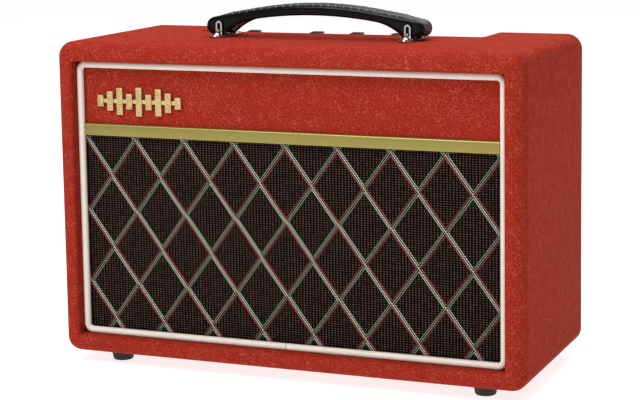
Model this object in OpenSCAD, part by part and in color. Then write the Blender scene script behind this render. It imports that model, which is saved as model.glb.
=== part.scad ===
// Small combo guitar amplifier: a vinyl-covered board cabinet with one 6.5 inch speaker behind a
// woven grille, a control panel in a recess at the rear of the top, and a strap handle that lifts
// in slotted brackets. Origin on the floor under the middle of the cabinet, +Z up, front facing -Y.

/* [Cabinet] */
// Width of the cabinet
cab_w = 380; // [370:1:400]
// Depth of the cabinet, front to back
cab_d = 162; // [160:1:175]
// Height of the cabinet without its feet
cab_h = 247; // [245:1:255]
// Thickness of the cabinet boards with their covering
wall = 15; // [14:0.5:16]
// Radius of the rounded front edges and long corners
edge_r = 12; // [8:0.5:13]
// Width of the control recess in the top
recess_w = 244; // [240:1:250]
// Depth of the control recess, measured from the rear edge
recess_d = 43.5; // [40:0.5:46]
// Height of the rubber feet
foot_h = 9.5; // [6:0.5:14]

/* [Front] */
// Depth of the piping's centre behind the front of the cabinet
bead_depth = 10; // [8:0.5:11]
// Radius of the piping
bead_r = 2.7; // [2:0.1:2.8]
// Depth of the name panel's face behind the front of the cabinet
panel_depth = 12.8; // [12.8:0.1:13.5]
// Depth of the baffle board's face behind the front of the cabinet
baffle_depth = 14.5; // [14.5:0.1:16]
// Thickness of the baffle board
baffle_t = 12; // [9:0.5:12]
// Height of the trim strip's middle above the bottom of the cabinet
strip_up = 178.1; // [170:0.1:185]
// Height of the trim strip
strip_h = 9.5; // [8:0.5:12]
// Distance of the emblem's middle to the left of the cabinet's middle
badge_left = 121.6; // [110:0.1:125]
// Height of the emblem's middle above the bottom of the cabinet
badge_up = 201; // [196:0.5:206]

/* [Speaker] */
// Outer radius of the speaker's frame
spk_r = 82; // [80:0.5:82]
// Height of the speaker's axis above the bottom of the cabinet
spk_up = 99.5; // [99:0.5:101]
// Radius of the hole in the baffle
spk_hole_r = 70; // [64:0.5:71]

/* [Handle] */
// Length of the handle, end to end
handle_len = 182; // [178:1:186]
// Width of the handle, front to back
handle_w = 22; // [18:0.5:22]
// Height of the handle's rim above the cabinet at mid-length
handle_rise = 25.6; // [24:0.1:28]
// How far the handle lifts in its brackets
handle_lift = 5; // [2:0.5:5]

/* [Controls] */
// Radius of a knob's round skirt
knob_r = 8; // [7.8:0.1:8.5]
// Height of a knob
knob_h = 14; // [13:0.1:18]
// How far the overdrive button travels
button_travel = 2.5; // [1:0.1:2.5]
// How far the power rocker tips to each side, in degrees
rocker_tip = 8; // [5:1:8]

/* [Hidden] */
$fn = 48;
slack = 0.3;
over = 1;

z_floor = foot_h;
z_top = foot_h + cab_h;
y_front = -cab_d / 2;
y_back = cab_d / 2;
in_w = cab_w - 2 * wall;
in_h = cab_h - 2 * wall;
z_in = z_floor + wall;
z_panel = z_top - wall;
z_spk = z_floor + spk_up;
z_strip = z_floor + strip_up;

// Feet
foot_x = 152;
foot_in = 29;
foot_top_r = 9.8;
foot_low_r = 7.8;
foot_screw_r = 2;

// Back of the cabinet
back_t = 9;
back_inset = 3;
batten = 12;
slot_w = 190;
slot_h = 60;
back_screw_x = in_w / 2 - batten / 2;

// Chassis and control panel
chassis_w = 300;
chassis_h = 45;
chassis_front = 21;
sheet = 1.2;
chassis_back = y_back - back_inset;
z_chassis = z_panel - chassis_h;
control_y = 56;
gain_x = -83;
treble_x = -27;
bass_x = 8;
volume_x = 43;
input_x = -108;
overdrive_x = -55;
phones_x = 71;
led_x = 89;
power_x = 106;
shaft_r = 3;
bush_r = 3.5;
running = 0.05;
pot_r = 8;
pot_h = 9;
board_z = z_panel - 18;
plug_r = 3.25;
jack_bush_r = 4.8;
jack_depth = 28;
led_r = 2.5;

// Handle
handle_y = y_front + 80;
bracket_x = 79;
bracket_w = 11;
ear_w = 5.4;
ear_t = 1.5;
ear_top = 13;
pin_r = 1.2;
pin_up = 5.2;
tab_reach = 23;
screw_reach = 18.5;
arc_r = 300;
arc_half = 50;
end_r = 6.8;
inlay_t = 1.7;
inlay_half = 76;

// A place at depth d behind the front of the cabinet
function dy(d) = y_front + d;

// The speaker's own frame: local +Z runs to the rear from depth d
module on_speaker(d) translate([0, dy(d), z_spk]) rotate([-90, 0, 0]) children();

module mirror_x() { children(); mirror([1, 0, 0]) children(); }

// A round tube along +Z
module tube(r_out, r_in, h) difference() {
    cylinder(r = r_out, h = h);
    translate([0, 0, -over]) cylinder(r = r_in, h = h + 2 * over);
}

// A round-headed screw: the head stands on z = 0, the shank goes down
module round_screw(head_r, head_h, shank_r, shank_len) {
    ball_r = (head_r * head_r + head_h * head_h) / (2 * head_h);
    difference() {
        intersection() {
            translate([0, 0, head_h - ball_r]) sphere(r = ball_r);
            cylinder(r = head_r, h = head_h + over);
        }
        for (turn = [0, 90])
            rotate([0, 0, turn]) translate([-head_r * 0.5, -head_r * 0.11, head_h * 0.45])
                cube([head_r, head_r * 0.22, head_h]);
    }
    translate([0, 0, -shank_len]) cylinder(r = shank_r, h = shank_len, $fn = 24);
}

module rounded_rect(w, h, r) {
    square([w - 2 * r, h], center = true);
    square([w, h - 2 * r], center = true);
    for (sx = [-1, 1], sy = [-1, 1]) translate([sx * (w / 2 - r), sy * (h / 2 - r)]) circle(r = r);
}

// ---- Cabinet ----

// The outer form: long edges and front edges rounded, rear edges square
module cabinet_form() {
    mid_z = z_floor + cab_h / 2;
    rear_len = cab_d - edge_r;
    translate([0, y_back, mid_z]) rotate([90, 0, 0]) linear_extrude(rear_len)
        rounded_rect(cab_w, cab_h, edge_r);
    translate([0, dy(edge_r / 2), mid_z]) cube([cab_w - 2 * edge_r, edge_r, cab_h - 2 * edge_r], center = true);
    for (sx = [-1, 1]) translate([sx * (cab_w / 2 - edge_r), dy(edge_r), z_floor + edge_r])
        cylinder(r = edge_r, h = cab_h - 2 * edge_r);
    for (z = [z_floor + edge_r, z_top - edge_r]) {
        translate([-cab_w / 2 + edge_r, dy(edge_r), z]) rotate([0, 90, 0])
            cylinder(r = edge_r, h = cab_w - 2 * edge_r);
        for (sx = [-1, 1]) translate([sx * (cab_w / 2 - edge_r), dy(edge_r), z]) sphere(r = edge_r);
    }
}

// The plan of the control recess: rounded at its front corners, open at the rear
module recess_plan() {
    corner = 5;
    half = recess_w / 2;
    translate([-half + corner, 0]) square([recess_w - 2 * corner, recess_d + over]);
    translate([-half, corner]) square([recess_w, recess_d - corner + over]);
    for (sx = [-1, 1]) translate([sx * (half - corner), corner]) circle(r = corner);
}

module cabinet_shell() {
    color("firebrick") difference() {
        cabinet_form();
        translate([-in_w / 2, y_front - over, z_in]) cube([in_w, cab_d + 2 * over, in_h]);
        translate([0, y_back - recess_d, z_panel - over]) linear_extrude(wall + 2 * over) recess_plan();
        for (x = [-foot_x, foot_x], y = [dy(foot_in), -dy(foot_in)])
            translate([x, y, z_floor - over]) cylinder(r = foot_screw_r, h = wall * 0.7 + over, $fn = 24);
        for (sx = [-1, 1], sy = [-1, 1])
            translate([sx * bracket_x, handle_y + sy * screw_reach, z_top - wall * 0.7])
                cylinder(r = foot_screw_r, h = wall, $fn = 24);
    }
}

module front_baffle() {
    color("peru") difference() {
        translate([-in_w / 2, dy(baffle_depth), z_in]) cube([in_w, baffle_t, in_h]);
        on_speaker(baffle_depth - over) cylinder(r = spk_hole_r, h = baffle_t + 2 * over);
        speaker_bolt_places(baffle_depth - over) cylinder(r = bolt_r, h = baffle_t + 2 * over, $fn = 24);
    }
}

// Glue blocks behind the baffle: one up each side wall, two low ones on the floor beside the speaker
module baffle_battens() {
    speaker_gap = 35;
    low_len = in_w / 2 - batten - speaker_gap;
    color("burlywood") translate([0, dy(baffle_depth + baffle_t), z_in]) mirror_x() {
        translate([in_w / 2 - batten, 0, 0]) cube([batten, batten, in_h]);
        translate([speaker_gap, 0, 0]) cube([low_len, batten, batten / 2]);
    }
}

module name_panel() {
    color("firebrick") translate([-in_w / 2, dy(panel_depth), z_strip])
        cube([in_w, baffle_depth - panel_depth, z_panel - z_strip]);
}

module grille_cloth() {
    cloth_t = 1;
    color("#241a18") translate([-in_w / 2 + slack, dy(baffle_depth - cloth_t - slack), z_in + slack])
        cube([in_w - 2 * slack, cloth_t, z_strip - z_in - 2 * slack]);
}

// Pressed gold strip with a slanted upper edge
module trim_strip() {
    front = 9.3;
    half = in_w / 2 - 2 * bead_r - slack;
    color("darkkhaki") translate([-half, 0, z_strip]) rotate([90, 0, 90]) linear_extrude(2 * half)
        polygon([[dy(panel_depth), -strip_h / 2], [dy(front), -strip_h / 2 + 0.4],
                 [dy(front), strip_h / 2 - 1.6], [dy(front + 1.2), strip_h / 2], [dy(panel_depth), strip_h / 2]]);
}

// An emblem of upright bars, as a sound level meter shows, on one rail
module badge() {
    bar_w = 5;
    pitch = 8.4;
    rise = [9, 15, 21, 12, 22.4, 12, 21, 15, 9];
    thick = 2.6;
    middle = (len(rise) - 1) / 2;
    color("goldenrod") translate([-badge_left, dy(panel_depth), z_floor + badge_up]) {
        for (i = [0 : len(rise) - 1])
            translate([(i - middle) * pitch - bar_w / 2, -thick, -rise[i] / 2]) cube([bar_w, thick, rise[i]]);
        translate([-middle * pitch, -thick + 0.8, -1.6]) cube([2 * middle * pitch, thick - 0.8, 3.2]);
    }
}

// Round piping, laid all round the opening with rounded corners
module piping() {
    turn_r = 5;
    run_x = in_w / 2 - bead_r - turn_r;
    run_z = in_h / 2 - bead_r - turn_r;
    color("seashell") translate([0, dy(bead_depth), z_floor + cab_h / 2]) for (flip = [0, 1]) mirror([0, 0, flip]) {
        translate([-run_x, 0, run_z + turn_r]) rotate([0, 90, 0]) cylinder(r = bead_r, h = 2 * run_x, $fn = 32);
        mirror_x() {
            translate([run_x + turn_r, 0, 0]) cylinder(r = bead_r, h = run_z, $fn = 32);
            translate([run_x, 0, run_z]) rotate([90, 0, 0]) rotate_extrude(angle = 90, $fn = 32)
                translate([turn_r, 0]) circle(r = bead_r);
        }
    }
}

// Four tapered feet, each with a counterbore for its screw
module foot_places() for (x = [-foot_x, foot_x], y = [dy(foot_in), -dy(foot_in)]) translate([x, y, 0]) children();

module rubber_feet() {
    color("#1b1b1b") foot_places() difference() {
        cylinder(r1 = foot_low_r, r2 = foot_top_r, h = foot_h);
        translate([0, 0, -over]) cylinder(r = 4.4, h = 4 + over);
        cylinder(r = foot_screw_r, h = foot_h + over, $fn = 24);
    }
}

module foot_screws() {
    color("silver") foot_places() translate([0, 0, 4]) mirror([0, 0, 1])
        round_screw(4, 2.2, foot_screw_r, foot_h - 4 + wall * 0.6);
}

// ---- Back ----

module back_battens() {
    y = chassis_back - back_t - batten;
    color("burlywood") difference() {
        union() {
            for (sx = [-1, 1]) translate([sx * back_screw_x - batten / 2, y, z_in]) cube([batten, batten, in_h]);
            translate([-in_w / 2 + batten, y, z_in]) cube([in_w - 2 * batten, batten, batten]);
        }
        back_screw_places(batten) cylinder(r = 1.5, h = batten, $fn = 24);
    }
}

// Screw places on the back panel, with local +Z towards the rear, sunk by the given depth
module back_screw_places(sunk) {
    side_z = [z_in + 6, z_in + 75, z_in + 150, z_panel - 10];
    bottom_x = [-58, 58];
    for (sx = [-1, 1], z = side_z)
        translate([sx * back_screw_x, chassis_back - back_t - sunk, z]) rotate([-90, 0, 0]) children();
    for (x = bottom_x)
        translate([x, chassis_back - back_t - sunk, z_in + batten / 2]) rotate([-90, 0, 0]) children();
}

module back_panel() {
    color("firebrick") difference() {
        translate([-in_w / 2, chassis_back - back_t, z_in]) cube([in_w, back_t, in_h]);
        translate([-chassis_w / 2 - slack, chassis_back - back_t - over, z_chassis - slack])
            cube([chassis_w + 2 * slack, back_t + 2 * over, chassis_h + 2]);
        translate([0, chassis_back + over, z_spk]) rotate([90, 0, 0]) linear_extrude(back_t + 2 * over)
            rounded_rect(slot_w, slot_h, slot_h / 2 - 0.5);
        back_screw_places(over) cylinder(r = 1.5, h = back_t + 2 * over, $fn = 24);
    }
}

module back_panel_screws() {
    washer_t = 0.8;
    color("silver") back_screw_places(-back_t) {
        difference() {
            cylinder(r = 5, h = washer_t, $fn = 32);
            translate([0, 0, -over]) cylinder(r = 1.5, h = washer_t + 2 * over, $fn = 24);
        }
        translate([0, 0, washer_t]) round_screw(3.2, 1.8, 1.5, back_t + washer_t + batten * 0.8);
    }
}

// ---- Chassis and electronics ----

// Folded steel tray, open at the top, with flanges under the control panel
module chassis() {
    depth = chassis_back - chassis_front;
    height = chassis_h - sheet;
    color("silver") difference() {
        translate([-chassis_w / 2, chassis_front, z_chassis]) cube([chassis_w, depth, height]);
        translate([-chassis_w / 2 + sheet, chassis_front + sheet, z_chassis + sheet])
            cube([chassis_w - 2 * sheet, depth - 2 * sheet, height]);
        translate([inlet_x, chassis_back, z_inlet]) cube([24.4, 4 * sheet, 17.4], center = true);
        translate([lead_x, chassis_front, z_chassis + 8]) rotate([90, 0, 0])
            cylinder(r = 4, h = 4 * sheet, center = true, $fn = 32);
        for (x = heat_screw_x) translate([x, 36, z_chassis]) cylinder(r = 1.5, h = 4 * sheet, center = true, $fn = 24);
    }
}

module control_panel() {
    color("#222222") difference() {
        translate([-chassis_w / 2, chassis_front, z_panel - sheet])
            cube([chassis_w, chassis_back - chassis_front, sheet]);
        panel_hole(input_x, jack_bush_r);
        panel_hole(phones_x, jack_bush_r);
        panel_hole(overdrive_x, 4.8);
        panel_hole(led_x, 3.2);
        for (x = [gain_x, treble_x, bass_x, volume_x]) panel_hole(x, bush_r);
        translate([power_x, control_y, z_panel]) cube([12.8, 18.8, 4 * sheet], center = true);
    }
}

module panel_hole(x, r) translate([x, control_y, z_panel]) cylinder(r = r, h = 4 * sheet, center = true);

board_x0 = -97;
board_x1 = 61;
board_t = 1.6;
heat_screw_x = [-70, -40];
standoff_places = [[-92, 30], [-92, 70], [56, 30], [56, 70]];

module circuit_board() {
    color("darkgreen") difference() {
        translate([board_x0, chassis_front + 4, board_z - board_t])
            cube([board_x1 - board_x0, chassis_back - chassis_front - 8, board_t]);
        for (p = standoff_places) translate([p[0], p[1], board_z]) cylinder(r = 1.6, h = 4 * board_t, center = true, $fn = 24);
    }
}

// Hexagonal pillars that hold the board up from the chassis floor
module board_standoffs() {
    low = z_chassis + sheet;
    color("gold") for (p = standoff_places) translate([p[0], p[1], low]) {
        cylinder(r = 2.8, h = board_z - board_t - low, $fn = 6);
        translate([0, 0, board_z - board_t - low]) cylinder(r = 1.6, h = board_t, $fn = 24);
        translate([0, 0, board_z - low]) cylinder(r = 2.6, h = 1.4, $fn = 24);
    }
}

// Finned aluminium block on the chassis floor that cools the amplifier chip
sink_x = -78;
sink_y = 31;
sink_w = 46;
sink_h = 20;
chip_y = 44;
module heat_sink() {
    fins = 7;
    low = z_chassis + sheet;
    color("dimgray") difference() {
        union() {
            translate([sink_x, sink_y, low]) cube([sink_w, chip_y - sink_y, 3]);
            for (i = [0 : fins - 1]) translate([sink_x + i * sink_w / fins, sink_y, low]) cube([2, 10, sink_h]);
            translate([sink_x, chip_y - 3, low]) cube([sink_w, 3, sink_h]);
        }
        for (x = heat_screw_x) translate([x, 36, z_chassis]) cylinder(r = 1.5, h = 30, center = true, $fn = 24);
    }
}

chip_x = -65;
module amplifier_chip() {
    low = z_chassis + sheet;
    color("#181818") {
        translate([chip_x, chip_y, low + 4]) cube([20, 4.5, 16]);
        for (i = [0 : 6]) translate([chip_x + 0.7 + i * 2.9, chip_y + 1.6, low + 20])
            cube([0.8, 0.8, board_z - board_t - low - 20]);
    }
}

module main_capacitors() {
    can_h = 20;
    color("navy") for (x = [-15, 6, 40])
        translate([x, 50, board_z - board_t - can_h]) cylinder(r = 8, h = can_h);
}

// Mains transformer: a laminated core with two windows, standing on the chassis floor
core_x = 133;
core_y = 40;
core_t = 16;
core_w = 34;
core_h = 40;
window_w = 5.5;
window_h = 20;
leg_w = 11;

module transformer_core() {
    color("#4a4a4a") translate([core_x, core_y, z_chassis + sheet + core_h / 2]) difference() {
        cube([core_t, core_w, core_h], center = true);
        for (s = [-1, 1]) translate([0, s * (leg_w + window_w) / 2, 0])
            cube([core_t + 2 * over, window_w, window_h], center = true);
    }
}

module transformer_coil() {
    bulge = 6.5;
    color("gold") translate([core_x, core_y, z_chassis + sheet + core_h / 2]) difference() {
        cube([core_t + 2 * bulge, leg_w + 2 * window_w - 0.4, window_h - 0.6], center = true);
        cube([core_t, leg_w, window_h + over], center = true);
    }
}

// Three-pin mains inlet in the rear of the chassis
inlet_x = 135;
z_inlet = z_chassis + 22;

module mains_inlet() {
    flange_w = 28;
    flange_h = 21;
    color("#151515") translate([inlet_x, chassis_back, z_inlet]) {
        difference() {
            union() {
                translate([-flange_w / 2, 0, -flange_h / 2]) cube([flange_w, 2, flange_h]);
                translate([-12, -18, -8.5]) cube([24, 18, 17]);
            }
            rotate([90, 0, 0]) translate([0, 0, -2 - over]) linear_extrude(17 + over)
                polygon([[-10.5, -7], [10.5, -7], [10.5, 3.5], [7, 7], [-7, 7], [-10.5, 3.5]]);
        }
        for (x = [-7, 0, 7]) translate([x - 1, -15.5, x == 0 ? 0 : -3]) cube([2, 14.5, 4]);
    }
}

// The four potentiometers: a round can under the panel, a bush up through it, three legs to the board
module pots() {
    top = z_panel - sheet;
    color("silver") for (x = [gain_x, treble_x, bass_x, volume_x]) translate([x, control_y, 0]) {
        difference() {
            union() {
                translate([0, 0, top - pot_h]) cylinder(r = pot_r, h = pot_h);
                translate([0, 0, top - over]) cylinder(r = bush_r, h = 6.5 + over);
            }
            translate([0, 0, top - pot_h + 2]) cylinder(r = shaft_r + running, h = 20);
        }
        for (i = [-1, 0, 1]) translate([i * 5 - 0.5, pot_r - 2.2, board_z]) cube([1, 1, top - pot_h - board_z]);
    }
}

module pot_nuts() {
    color("gainsboro") for (x = [gain_x, treble_x, bass_x, volume_x]) translate([x, control_y, z_panel]) difference() {
        union() {
            cylinder(r = 6, h = 0.8);
            translate([0, 0, 0.8]) cylinder(r = 5.8, h = 2.2, $fn = 6);
        }
        translate([0, 0, -over]) cylinder(r = bush_r, h = 6);
    }
}

// A quarter-inch jack: moulded body below the panel, threaded bush through it, one bore down the middle
module jack(x) {
    top = z_panel - sheet;
    color("#202020") translate([x, control_y, 0]) difference() {
        union() {
            translate([-8, -10, z_panel - jack_depth + 1]) cube([16, 20, jack_depth - sheet - 1]);
            translate([0, 0, top - over]) cylinder(r = jack_bush_r, h = 7.5 + over);
        }
        translate([0, 0, z_panel - jack_depth + 4]) cylinder(r = plug_r, h = jack_depth + 20);
    }
}

module input_jack() jack(input_x);
module phones_jack() jack(phones_x);

module jack_nuts() {
    color("gainsboro") for (x = [input_x, phones_x]) translate([x, control_y, z_panel]) difference() {
        union() {
            cylinder(r = 8, h = 1);
            translate([0, 0, 1]) cylinder(r = 7.2, h = 3, $fn = 6);
        }
        translate([0, 0, -over]) cylinder(r = jack_bush_r, h = 8);
    }
}

// Push switch below the panel: a square body with a well for the button's stem
stem_r = 2;
module overdrive_switch() {
    top = z_panel - sheet;
    color("#303030") translate([overdrive_x, control_y, 0]) difference() {
        translate([-5, -5, board_z]) cube([10, 10, top - board_z]);
        translate([0, 0, board_z + 3]) cylinder(r = stem_r + running, h = 30, $fn = 32);
        translate([0, 0, top - button_travel - 1]) cylinder(r = 4.4, h = 10);
    }
}

module overdrive_button() {
    color("#d8d4c8") translate([overdrive_x, control_y, 0]) {
        translate([0, 0, z_panel - sheet - 0.7]) cylinder(r1 = 4.1, r2 = 3.9, h = 7);
        translate([0, 0, board_z + 3 + button_travel + 0.5]) cylinder(r = stem_r, h = z_panel - board_z - button_travel - 5, $fn = 32);
    }
}

// Rocker switch: a framed box that snaps into the panel, open at the top, with holes for the rocker's pivots
rocker_half = 7.9;
rocker_w = 9;
rocker_pin_r = 0.7;
rocker_pin_len = 11.4;
z_rocker = z_panel + 0.8;

module power_switch_housing() {
    color("#101010") translate([power_x, control_y, z_panel]) difference() {
        union() {
            translate([-7.7, -10.7, 0]) cube([15.4, 21.4, 1.6]);
            translate([-6.3, -9.3, -20]) cube([12.6, 18.6, 20.5]);
        }
        translate([-rocker_w / 2 - 0.4, -rocker_half - 1, -8]) cube([rocker_w + 0.8, 2 * rocker_half + 2, 20]);
        translate([0, 0, z_rocker - z_panel]) rotate([0, 90, 0])
            cylinder(r = rocker_pin_r + running, h = rocker_pin_len + 0.4, center = true, $fn = 24);
    }
}

module power_rocker() {
    color("#2a2a2a") translate([power_x, control_y, z_rocker]) rotate([rocker_tip, 0, 0]) {
        rotate([90, 0, 90]) translate([0, 0, -rocker_w / 2]) linear_extrude(rocker_w)
            polygon([[-rocker_half, 4], [0, 2.2], [rocker_half, 4], [rocker_half + 0.3, 1.4],
                     [4, -4.5], [-4, -4.5], [-rocker_half - 0.3, 1.4]]);
        rotate([0, 90, 0]) cylinder(r = rocker_pin_r, h = rocker_pin_len, center = true, $fn = 24);
    }
}

module led_bezel() {
    color("gainsboro") translate([led_x, control_y, z_panel - 4]) difference() {
        union() {
            cylinder(r = 3.2, h = 5);
            translate([0, 0, 4]) cylinder(r = 4.2, h = 1.5);
        }
        translate([0, 0, -over]) cylinder(r = led_r, h = 10);
    }
}

module power_led() {
    color("red") translate([led_x, control_y, z_panel - 6]) {
        cylinder(r = led_r, h = 8);
        translate([0, 0, 8]) sphere(r = led_r);
    }
}

// ---- Knobs ----

// A potentiometer's shaft, standing in its can
module shaft(x) {
    low = z_panel - sheet - pot_h + 2;
    color("silver") translate([x, control_y, low + 0.2]) cylinder(r = shaft_r, h = z_panel + 11.5 - low);
}

// A pointer knob: round skirt, and a tapered bar whose ridge falls towards its tip at -X
module pointer_knob(x) {
    low = 0.7;
    tail = 7.6;
    tip = -13;
    nut_room_r = 6.4;
    nut_room_h = 5.2;
    bore_h = 11;
    color("#1c1c1c") translate([x, control_y, z_panel + low]) difference() {
        union() {
            cylinder(r1 = knob_r, r2 = knob_r - 0.8, h = 7);
            intersection() {
                linear_extrude(knob_h)
                    polygon([[tail, -3.1], [tail, 3.1], [-4, 3.4], [tip, 1.1], [tip, -1.1], [-4, -3.4]]);
                rotate([90, 0, 0]) translate([0, 0, -20]) linear_extrude(40)
                    polygon([[tail, 0], [tail, knob_h - 1.5], [tail - 1.8, knob_h], [-1, knob_h - 0.4], [tip + 1, knob_h - 6.4],
                             [tip, 5], [tip + 2, 0]]);
            }
        }
        translate([0, 0, -over]) cylinder(r = nut_room_r, h = nut_room_h + over);
        translate([0, 0, -over]) cylinder(r = shaft_r, h = bore_h + over);
    }
}

module gain_shaft() shaft(gain_x);
module treble_shaft() shaft(treble_x);
module bass_shaft() shaft(bass_x);
module volume_shaft() shaft(volume_x);
module gain_knob() pointer_knob(gain_x);
module treble_knob() pointer_knob(treble_x);
module bass_knob() pointer_knob(bass_x);
module volume_knob() pointer_knob(volume_x);

// ---- Speaker ----

bolt_r = 1.5;
bolt_ring_r = 78.4;
nut_r = 3.2;
flange_d = 28.5;
coil_r = 12.7;
seat_r = 44;
terminal_x = 5;
module speaker_bolt_places(d) on_speaker(d) for (a = [45 : 90 : 315]) rotate([0, 0, a])
    translate([bolt_ring_r, 0, 0]) children();

// Pressed steel basket: flat flange, sloping wall with four windows, rear seat for the magnet
module speaker_frame() {
    color("#2b2b2b") difference() {
        on_speaker(flange_d) rotate_extrude()
            polygon([[73, 0], [spk_r, 0], [spk_r, 1.5], [74.5, 1.5], [72.5, 14], [seat_r, 40], [seat_r, 43.5],
                     [14.5, 43.5], [14.5, 42], [42.5, 42], [42.5, 39.4], [71, 13.4]]);
        on_speaker(flange_d + 14.5) for (a = [0 : 90 : 270]) rotate([0, 0, a])
            translate([34, -24, 1]) cube([50, 48, 21]);
        speaker_bolt_places(flange_d - over) cylinder(r = bolt_r, h = 4, $fn = 24);
    }
}

module speaker_gasket() {
    color("tan") difference() {
        on_speaker(flange_d - 2) tube(spk_r, 72.5, 2);
        speaker_bolt_places(flange_d - 3) cylinder(r = bolt_r, h = 4, $fn = 24);
    }
}

// Rubber half roll between the frame's flange and the cone
module speaker_surround() {
    color("#262626") on_speaker(flange_d) rotate_extrude()
        polygon([[72.4, 0.2], [72.4, 1], [70.5, 1], [68.5, -1.5], [66, -2.4], [63.5, -1.5], [61.8, 1.2],
                 [61, 0.7], [62.8, -2.3], [66, -3.4], [69.2, -2.3], [71.2, 0.2]]);
}

module speaker_cone() {
    color("#30302e") on_speaker(flange_d) rotate_extrude()
        polygon([[60.6, 1.4], [61.6, 1.9], [20, 23.9], [13.5, 25.5], [13.5, 24.6], [19.6, 22.9]]);
}

module dust_cap() {
    cap_r = 19;
    ball_r = 30;
    sink = sqrt(ball_r * ball_r - cap_r * cap_r);
    color("#252523") on_speaker(flange_d + 22.5) intersection() {
        difference() {
            translate([0, 0, sink]) sphere(r = ball_r);
            translate([0, 0, sink]) sphere(r = ball_r - 0.8);
        }
        translate([0, 0, -20]) cylinder(r = cap_r, h = 20);
    }
}

module voice_coil() {
    color("#b87333") on_speaker(flange_d + 24.5) {
        tube(coil_r, coil_r - 0.3, 27);
        translate([0, 0, 18]) tube(coil_r + 0.35, coil_r, 8);
    }
}

// Corrugated cloth ring that centres the voice coil
module speaker_spider() {
    color("#c9a35a") on_speaker(flange_d + 33.5) rotate_extrude()
        polygon([[13.2, 0], [17, 0], [20, 1.2], [24, -1.2], [28, 1.2], [32, -1.2], [36, 1.2], [39, 0], [41.5, 0],
                 [41.5, 0.6], [39, 0.6], [36, 1.8], [32, -0.6], [28, 1.8], [24, -0.6], [20, 1.8], [17, 0.6],
                 [13.2, 0.6]]);
}

module speaker_top_plate() {
    color("silver") on_speaker(flange_d + 43.5) tube(34, 13.8, 4);
}

module speaker_magnet() {
    color("#3a3a3a") on_speaker(flange_d + 47.5) tube(40, 18, 13);
}

module speaker_yoke() {
    color("silver") on_speaker(flange_d + 60.5) {
        cylinder(r = 34, h = 4);
        translate([0, 0, -16.5]) cylinder(r = 11.6, h = 17);
    }
}

// Terminal strip on the edge of the basket's rear seat, with two solder tags
module speaker_terminals() {
    strip_t = 2;
    color("#8a5a2b") on_speaker(flange_d + 41.5) difference() {
        union() {
            translate([-9, -58, 0]) cube([18, 16, strip_t]);
            for (x = [-terminal_x, terminal_x]) translate([x - 1.5, -61, strip_t]) cube([3, 10, 0.8]);
        }
        translate([0, 0, -over]) cylinder(r = seat_r, h = 2 * strip_t);
    }
}

module speaker_bolts() {
    color("silver") speaker_bolt_places(flange_d + 1.5) {
        translate([0, 0, -baffle_t - 3.5]) cylinder(r = bolt_r, h = baffle_t + 8.5, $fn = 24);
        difference() {
            cylinder(r = nut_r, h = 2.6, $fn = 6);
            translate([0, 0, -over]) cylinder(r = bolt_r, h = 6, $fn = 24);
        }
    }
}

// Two leads from the board, out of the chassis front and down to the speaker's terminals
lead_x = -22;
lead_r = 0.9;
module speaker_leads() {
    for (side = [-1, 1])
        color(side < 0 ? "black" : "red")
            run_of_lead([[lead_x + side * 1.2, 34, z_chassis + 8], [lead_x + side * 1.2, 12, z_chassis + 8],
                         [lead_x + side * 1.2, 2, z_chassis - 4],
                         [side * terminal_x, dy(flange_d + 46.5), z_spk + 62],
                         [side * terminal_x, dy(flange_d + 45.3), z_spk + 56]]);
}

// A round lead through a list of points, with a slightly larger ball at each bend
module run_of_lead(points) for (i = [0 : len(points) - 2]) {
    step = points[i + 1] - points[i];
    reach = norm(step);
    translate(points[i]) rotate([0, acos(step[2] / reach), atan2(step[1], step[0])])
        cylinder(r = lead_r, h = reach, $fn = 16);
    translate(points[i]) sphere(r = lead_r + 0.12, $fn = 16);
}

// ---- Handle ----

// Height of the handle's rim above the cabinet, at a distance x from the middle
function rim_arc(x) = handle_rise - (arc_r - sqrt(arc_r * arc_r - x * x));
rim_slope = 1 / 6;
function rim_z(x) = abs(x) <= arc_half ? rim_arc(x) : rim_arc(arc_half) - (abs(x) - arc_half) * rim_slope;
end_x = handle_len / 2 - end_r;
end_z = rim_z(end_x) - end_r * sqrt(1 + rim_slope * rim_slope);
under_r = 330;
under_half = 52;
function under_z(x) = handle_rise - 7.3 - (under_r - sqrt(under_r * under_r - x * x));
function bend(a, b, c, t) = (1 - t) * (1 - t) * a + 2 * t * (1 - t) * b + t * t * c;

// Half of the side outline, from the middle of the top to the middle of the underside
half_outline = concat(
    [for (x = [0 : 5 : arc_half]) [x, rim_z(x)]],
    [[inlay_half, rim_z(inlay_half)]],
    [for (a = [80 : -10 : -90]) [end_x + end_r * cos(a), end_z + end_r * sin(a)]],
    [[75, end_z - end_r]],
    [for (t = [0 : 0.125 : 1]) bend([70, 6.4], [63.5, 12.6], [under_half, under_z(under_half)], t)],
    [for (x = [under_half - 4 : -6 : 0]) [x, under_z(x)]]);

module on_handle(width) translate([0, handle_y + width / 2, z_top]) rotate([90, 0, 0]) linear_extrude(width) children();

module pin_bore(width) for (sx = [-1, 1]) translate([sx * bracket_x, handle_y, z_top + pin_up]) rotate([90, 0, 0])
    cylinder(r = pin_r, h = width, center = true, $fn = 32);

module handle_grip() {
    color("#161616") difference() {
        mirror_x() on_handle(handle_w) polygon(concat(half_outline, [[0, under_z(0)]]));
        pin_bore(handle_w + 2 * over);
    }
}

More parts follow.
